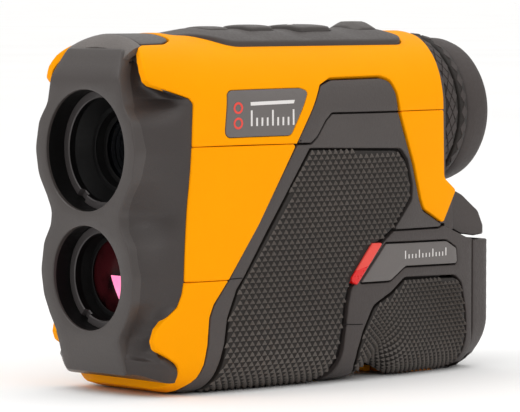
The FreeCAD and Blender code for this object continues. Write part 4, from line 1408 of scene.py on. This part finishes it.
def innerLiner():
    shape = Shape()
    ys = [shadeAndJointLiner["frontY"] + shadeAndJointLiner["length"] * k / 40 for k in range(41)]
    for sign in (1, -1):
        rows, backs = [], []
        for y in ys:
            _, _, _, _, high, low = section(y)
            depths = [shadeAndJointLiner["depth"] + shadeAndJointLiner["keyRoom"] * ease(t, 50, 55) for t in range(61)]
            row = [onBody(y, low + (high - low) * t / 60, -d) for t, d in enumerate(depths)]
            back = [onBody(y, low + (high - low) * t / 60, -d - shadeAndJointLiner["wall"]) for t,
                d in enumerate(depths)]
            if sign < 0:
                row, back = [mirrored(p) for p in row], [mirrored(p) for p in back]
            rows.append(row)
            backs.append(back)
        shape.slab(rows, backs)
    return shape.make("innerLiner", ["shadeAndJointLiner"])


foot = {"frontY": 28.4, "rearY": 41.4, "halfWidth": 14.2, "corner": 1.5, "holeY": 34.4,
    "holeR": 3.2, "topZ": 1.0}


def baseFoot():
    y0, y1, x, r = foot["frontY"], foot["rearY"], foot["halfWidth"], foot["corner"]
    loop = roundLoop([(y0, -x, r), (y0, x, r), (y1, x, r), (y1, -x, r)], 1.3)
    hole = circleLoop(foot["holeY"], 0.0, foot["holeR"], 32)
    lift = lambda y, x, h: Vector((x, y, foot["topZ"] - h))
    return Shape().patch([loop, hole], lift, 1.0, 1.6, 0.4, 2.0).make("baseFoot", ["orange"])


# build

place(topCover(), "housing", "yellow_plastic", "top_cover")
place(middleShell(), "housing", "yellow_plastic", "middle_shell")
place(bottomCover(), "housing", "yellow_plastic", "bottom_cover")
place(innerLiner(), "housing", "black_plastic")
place(sidePlaques(), "housing", "grey_plastic", "side_plaques")
for sign, side in ((1, "Right"), (-1, "Left")):
    panel = sidePanel(sign).make("sidePanel" + side, ["panel"])
    place(panel, "housing", "black_plastic", "side_panel_" + side.lower())
    place(frontPad(sign), "housing", "black_rubber", "front_grip_pad_" + side.lower())
    place(rearPad(sign), "housing", "black_rubber", "rear_grip_pad_" + side.lower())
place(rearHousing(), "housing", "black_plastic", "rear_housing")
place(nameplates(), "housing", "grey_plastic", "nameplates")
place(accentStrips(), "housing", "red_accent", "accent_strips")
place(batteryDoor(), "battery_door", "black_plastic", "battery_door")
place(doorLatch(), "door_latch", "black_plastic", "door_latch")
place(diopterRing(), "diopter_ring", "black_rubber", "diopter_ring")
place(eyecup(), "eyecup", "black_rubber", "eyecup")
place(keypadDeck(), "housing", "button_rubber", "keypad_panel")
for name, key in keyShapes.items():
    place(makeKey(name, key), key["node"], "button_rubber", key["node"])
place(frontBezel(), "housing", "black_plastic", "front_bezel")
place(baseFoot(), "housing", "orange_plastic", "base_foot")
place(retainingRing("receiverRetainingRing", optics["upper"]),
    "housing", "black_aluminium", "receiver_retaining_ring")
place(retainingRing("laserRetainingRing", optics["lower"]),
    "housing", "black_aluminium", "laser_retaining_ring")
place(baffle("receiverBaffle", optics["upper"], "darkLens"),
    "housing", "black_aluminium", "receiver_lens")
place(baffle("laserBaffle", optics["lower"], "tintedLensPaintedReflection"), "housing", "coated_glass", "laser_lens")
for helper in (pointTooth, diamondTooth):
    bpy.data.objects.remove(helper)

# finishes of the pieces that stay as they are in the frame
slotFinish = {
    "black_plastic": "skirt", "yellow_plastic": "yellow", "black_rubber": "rubber",
    "button_rubber": "keys",
    "seal_rubber": "rubber", "grey_plastic": "plaque", "red_accent": "red", "orange_plastic": "orange",
    "black_aluminium": "black", "steel": "steel", "brass": "brass", "coated_glass": "coated",
    "clear_glass": "clear",
    "board_green": "board", "component_black": "component", "can_metal": "can", "cell_wrap": "cell",
}
slotOf = {}
for entry in frame["record"]["subparts"]:
    slotOf[entry["node"]] = entry["material_slot"]
for nodeName, node in frame["nodes"].items():
    finish = slotFinish.get(slotOf.get(nodeName), "black")
    if nodeName.endswith("retaining_ring"):
        finish = "anodised"
    for slotIndex in range(max(1, len(node.data.materials))):
        if slotIndex < len(node.data.materials):
            node.data.materials[slotIndex] = finishes[finish]
        else:
            node.data.materials.append(finishes[finish])
print("finishes given to", len(frame["nodes"]), "frame pieces")


# floor, light and camera

def softLight(name, spot, target, size, power, tint=(1.0, 1.0, 1.0)):
    data = bpy.data.lights.new(name, "AREA")
    data.shape = "DISK"
    data.size = size
    data.energy = power
    data.color = tint
    obj = bpy.data.objects.new(name, data)
    obj.location = spot
    obj.rotation_euler = (Vector(target) - Vector(spot)).to_track_quat("-Z", "Y").to_euler()
    scene.collection.objects.link(obj)
    return obj


def paleFloor():
    mesh = bpy.data.meshes.new("floor")
    half = 400.0
    mesh.from_pydata([(-half, -half, 0), (half, -half, 0), (half, half, 0),
        (-half, half, 0)], [], [(0, 1, 2, 3)])
    obj = bpy.data.objects.new("floor", mesh)
    scene.collection.objects.link(obj)
    material, tree, shader, coords = nodeTree("paleFloor")
    speckle = noiseNode(tree, coords, 3.0)
    tone = rampNode(tree, speckle.outputs["Fac"], [(0.3, (0.93, 0.93, 0.93, 1)),
        (0.7, (0.96, 0.96, 0.96, 1))])
    tree.links.new(tone.outputs["Color"], shader.inputs["Base Color"])
    shader.inputs["Roughness"].default_value = 0.9
    shader.inputs["Specular IOR Level"].default_value = 0.1
    mesh.materials.append(material)
    return obj


paleFloor()
world = bpy.data.worlds.new("softWorld")
world.use_nodes = True
sky = world.node_tree
sky.nodes["Background"].inputs["Color"].default_value = (1.0, 0.995, 0.985, 1.0)
skyCoords = sky.nodes.new("ShaderNodeTexCoord")
skySplit = sky.nodes.new("ShaderNodeSeparateXYZ")

def skyRange(height, low, high):
    node = sky.nodes.new("ShaderNodeMapRange")
    node.inputs["From Max"].default_value = height
    node.inputs["To Min"].default_value = low
    node.inputs["To Max"].default_value = high
    sky.links.new(skySplit.outputs["Z"], node.inputs["Value"])
    return node


sky.links.new(skyCoords.outputs["Generated"], skySplit.inputs["Vector"])
skyLevel = skyRange(1.0, 0.42, 1.4)  # brighter overhead
skyEdge = skyRange(0.03, 0.6, 0.0)  # a white band at the horizon
skySum = sky.nodes.new("ShaderNodeMath")
sky.links.new(skyLevel.outputs["Result"], skySum.inputs[0])
sky.links.new(skyEdge.outputs["Result"], skySum.inputs[1])
sky.links.new(skySum.outputs["Value"], sky.nodes["Background"].inputs["Strength"])
scene.world = world
softLight("keyLight", (-0.30, -0.80, 0.70), (0, 0, 0.045), 0.35, 1.3)
softLight("sideLight", (0.95, -0.10, 0.60), (0, 0, 0.04), 0.45, 1.0)
softLight("topLight", (0.0, 0.1, 1.0), (0, 0, 0.05), 0.6, 0.6)
scene.view_settings.view_transform = "Standard"

view = {"place": (0.6270, -0.5773, 0.0914), "turn": 47.5, "tilt": 3.4, "lens": 249.23}
cameraData = bpy.data.cameras.new("camera")
cameraData.lens = view["lens"]
cameraData.sensor_width = 36.0
cameraData.clip_start = 0.01
cameraData.clip_end = 30.0
camera = bpy.data.objects.new("camera", cameraData)
camera.location = view["place"]
turn, tilt = radians(view["turn"]), radians(view["tilt"])
direction = Vector((-sin(turn) * cos(tilt), cos(turn) * cos(tilt), -sin(tilt)))
camera.rotation_euler = direction.to_track_quat("-Z", "Y").to_euler()
scene.collection.objects.link(camera)
scene.camera = camera
print("camera and lights ready")
